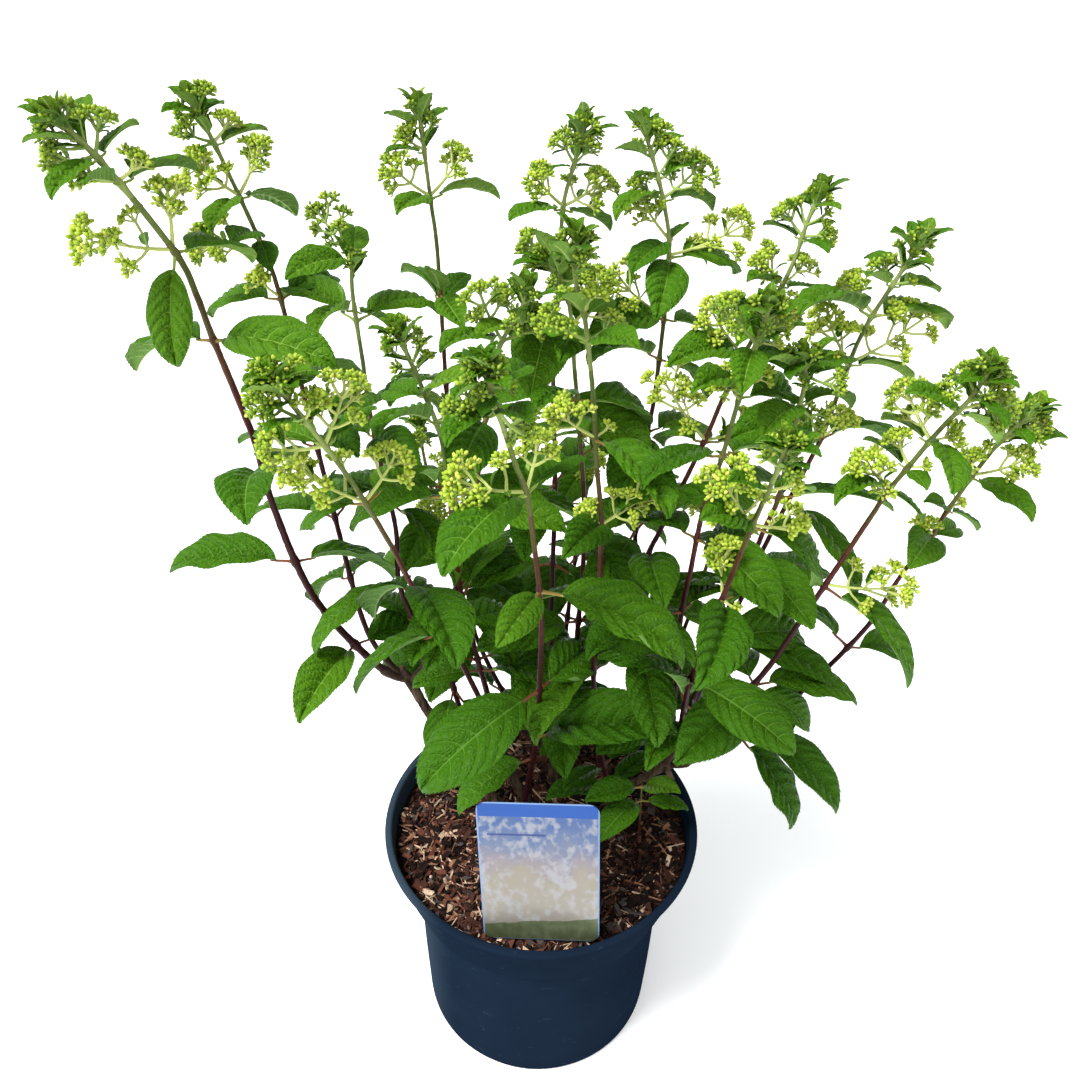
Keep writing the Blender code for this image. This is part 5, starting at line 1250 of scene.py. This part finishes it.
def small_leaf(root, way, length, stem, age=0.7, wide=0.86):
    """a narrow leaf among the buds, without a stalk of its own"""
    azimuth = math.degrees(math.atan2(way[1], way[0]))
    rise = math.degrees(math.asin(np.clip(way[2], -1, 1)))
    grow_leaf(small_heap, bract_plan, root, azimuth, rise, length, stem, 0.0, 0.6, age, wide, False)


def bud_head(root, way, reach, radius, ripe):
    """a forked head: its stalk, its rays, and tufts of buds on each"""
    slot = STALKS[int(ripe > 0.5)]
    upright = unit(way + np.array([0, 0, 0.35]))
    tuft = min(0.0045, 0.62 * radius)
    hub = root + way * max(reach - 0.85 * radius, 0.35 * reach)
    bowed = (root + hub) / 2 - 0.05 * reach * UP
    rod(stalk_heap, bow_through(root, bowed, hub, 5),
        HEAD_STALK * np.linspace(1.2, 0.9, 5) * (0.75 + 12.0 * radius), 6, slot)
    rays = 1 if radius < 0.0058 else int(round(1 + radius / 0.0027))
    turn = chance.uniform(0, 2 * math.pi)
    for k in range(rays):
        tilt = 0.0 if k == 0 else (0.70 if k < 4 else 1.20) + chance.uniform(-0.18, 0.18)
        out = round_about(upright, tilt, turn + 2.4 * k)
        far = (radius - 0.8 * tuft) * (0.8 if k == 0 else 1.0) * chance.uniform(0.80, 1.12)
        far = max(far, 0.0015)
        end = hub + out * far
        bend_way = unit(out + 0.45 * upright)
        rod(stalk_heap, [hub, hub + out * far * 0.55 - upright * far * 0.05, end],
            [0.00122, 0.00100, 0.00110], 5, slot)
        if rays == 1:
            bud_cluster(end, unit(way + 0.4 * UP), 0.0044, int(chance.integers(11, 15)), slot, ripe)
        else:
            tufts(end, bend_way, 3, slot, ripe)
    leaflets = int(chance.integers(1, 4)) if radius > 0.006 else int(chance.integers(1, 3))
    for k in range(leaflets):
        out = round_about(upright, chance.uniform(0.9, 1.4), turn + 1.1 + 2.1 * k)
        small_leaf(hub - way * 0.001, out, (0.006 + 0.45 * radius) * chance.uniform(0.8, 1.3), upright)


HEAD_STALK = 0.0011
LONG_HEAD = 0.023


def long_head(root, way, reach, ripe):
    """a long open head: a bowed stalk with side rays, which end in tufts of buds"""
    slot = STALKS[int(ripe > 0.4)]
    forward = unit(way + np.array([0, 0, 0.30]))
    end = root + way * 0.78 * reach + UP * 0.05 * reach
    bowed = (root + end) / 2 - UP * 0.06 * reach
    path = bow_through(root, bowed, end, 8)
    rod(stalk_heap, path, np.linspace(0.00125, 0.00085, 8), 6, slot)
    turn = chance.uniform(0, 2 * math.pi)
    for share, rays, spread in ((0.40, 2, 1.05), (0.70, 2, 0.95), (1.0, 4, 0.80)):
        if share < 0.5 and reach < 0.032:
            continue
        fork = np.array([np.interp(share, np.linspace(0, 1, 8), path[:, k]) for k in range(3)])
        turn += 1.2
        for k in range(rays):
            straight = share == 1.0 and k == 0
            lean = 0.1 if straight else spread + chance.uniform(-0.2, 0.2)
            out = round_about(forward, lean, turn + 2 * math.pi * k / rays)
            far = float(np.clip((0.36 - 0.10 * share) * reach, 0.0060, 0.0135)) * chance.uniform(0.7, 1.3)
            tip = fork + out * far
            rod(stalk_heap, [fork, fork + out * far * 0.5 - forward * far * 0.06, tip],
                [0.00108, 0.00086, 0.00092], 5, slot)
            tufts(tip, unit(out + 0.4 * forward), 4, slot, ripe)
        if chance.random() < 0.6:
            out = round_about(forward, 1.2, turn + 1.6)
            small_leaf(fork, out, (0.007 + 0.2 * reach) * chance.uniform(0.8, 1.3), forward, 0.8)


def head_radius(reach):
    return min(0.50 * reach - 0.0006, 0.0225)


for shoot in SHOOTS:
    line = shoot["line"]
    run = lengths(line)[-1]
    for t, _, flowers in shoot["nodes"]:
        at, up = along(line, t)
        for azimuth, rise, reach in flowers:
            way = heading(azimuth, rise)
            reach = reach / 1000
            ripe = float(np.clip(1.05 - 3.3 * max(t - 0.72, 0.0) + chance.normal(0, 0.12), 0.1, 1))
            if reach > LONG_HEAD:
                long_head(at + up * 0.0026, way, reach, ripe)
            else:
                bud_head(at + up * 0.0026, way, reach, head_radius(reach), ripe)
    if not shoot["cane"]:
        continue
    tip, up = along(line, 1.0)
    size = shoot["spike"]
    start = chance.uniform(0, 2 * math.pi)
    for whorl, (far, heads) in enumerate(((0.026, 2), (0.013, 2))):
        turn = start + 1.3 * whorl
        for k in range(heads):
            way = round_about(up, 0.75 + chance.uniform(-0.12, 0.12), turn + 2 * math.pi * k / heads)
            reach = (0.0105 + 0.20 * far) * size
            bud_head(tip - up * far * size, way, reach, 0.0050 * size, 0.15)
            out = round_about(up, chance.uniform(0.70, 1.05), turn + 2 * math.pi * k / heads + 0.25)
            small_leaf(tip - up * (far + 0.0015) * size, out, chance.uniform(0.018, 0.026) * size,
                       up, 1.1, 1.0)
    bud_head(tip - up * 0.008, up, 0.006 * size, 0.0042 * size, 0.2)
    for k in range(6):
        tilt = (0.30 if k % 2 else 0.66) + chance.uniform(-0.06, 0.06)
        way = round_about(up, tilt, math.pi * k / 3 + start)
        length = chance.uniform(0.0155, 0.0205) * size
        small_leaf(tip - up * 0.0095, way, length, up, 2.0 if k % 2 else 1.3, 1.3)

small_leaves = small_heap.make("small_leaves", leaf_finishes)
stalks = stalk_heap.make("flower_stalks", flower_finishes)
centres = np.array([centre for centre, _, _, _ in buds])
sizes = np.array([size for _, size, _, _ in buds])
ways = np.array([way for _, _, way, _ in buds])
bud_tones = np.array([BUDS[tone] for _, _, _, tone in buds])
balls = BALL[None] + 0.70 * (ways @ BALL.T)[..., None] * ways[:, None]
balls = centres[:, None] + balls * sizes[:, None, None]
bud_pieces = []
for k, part in enumerate(np.array_split(np.arange(len(buds)), 2)):
    bud_heap = Heap()
    faces = (np.arange(len(part))[:, None, None] * len(BALL) + BALL_FACES[None]).reshape(-1, 3)
    bud_heap.add(balls[part], (faces, np.repeat(bud_tones[part], len(BALL_FACES))))
    bud_pieces.append(bud_heap.make(f"flower_buds_{k + 1}", flower_finishes))
for piece in (small_leaves, stalks, *bud_pieces):
    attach(piece, "root")
    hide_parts(*SHOOT_NODES)

bpy.context.view_layer.update()
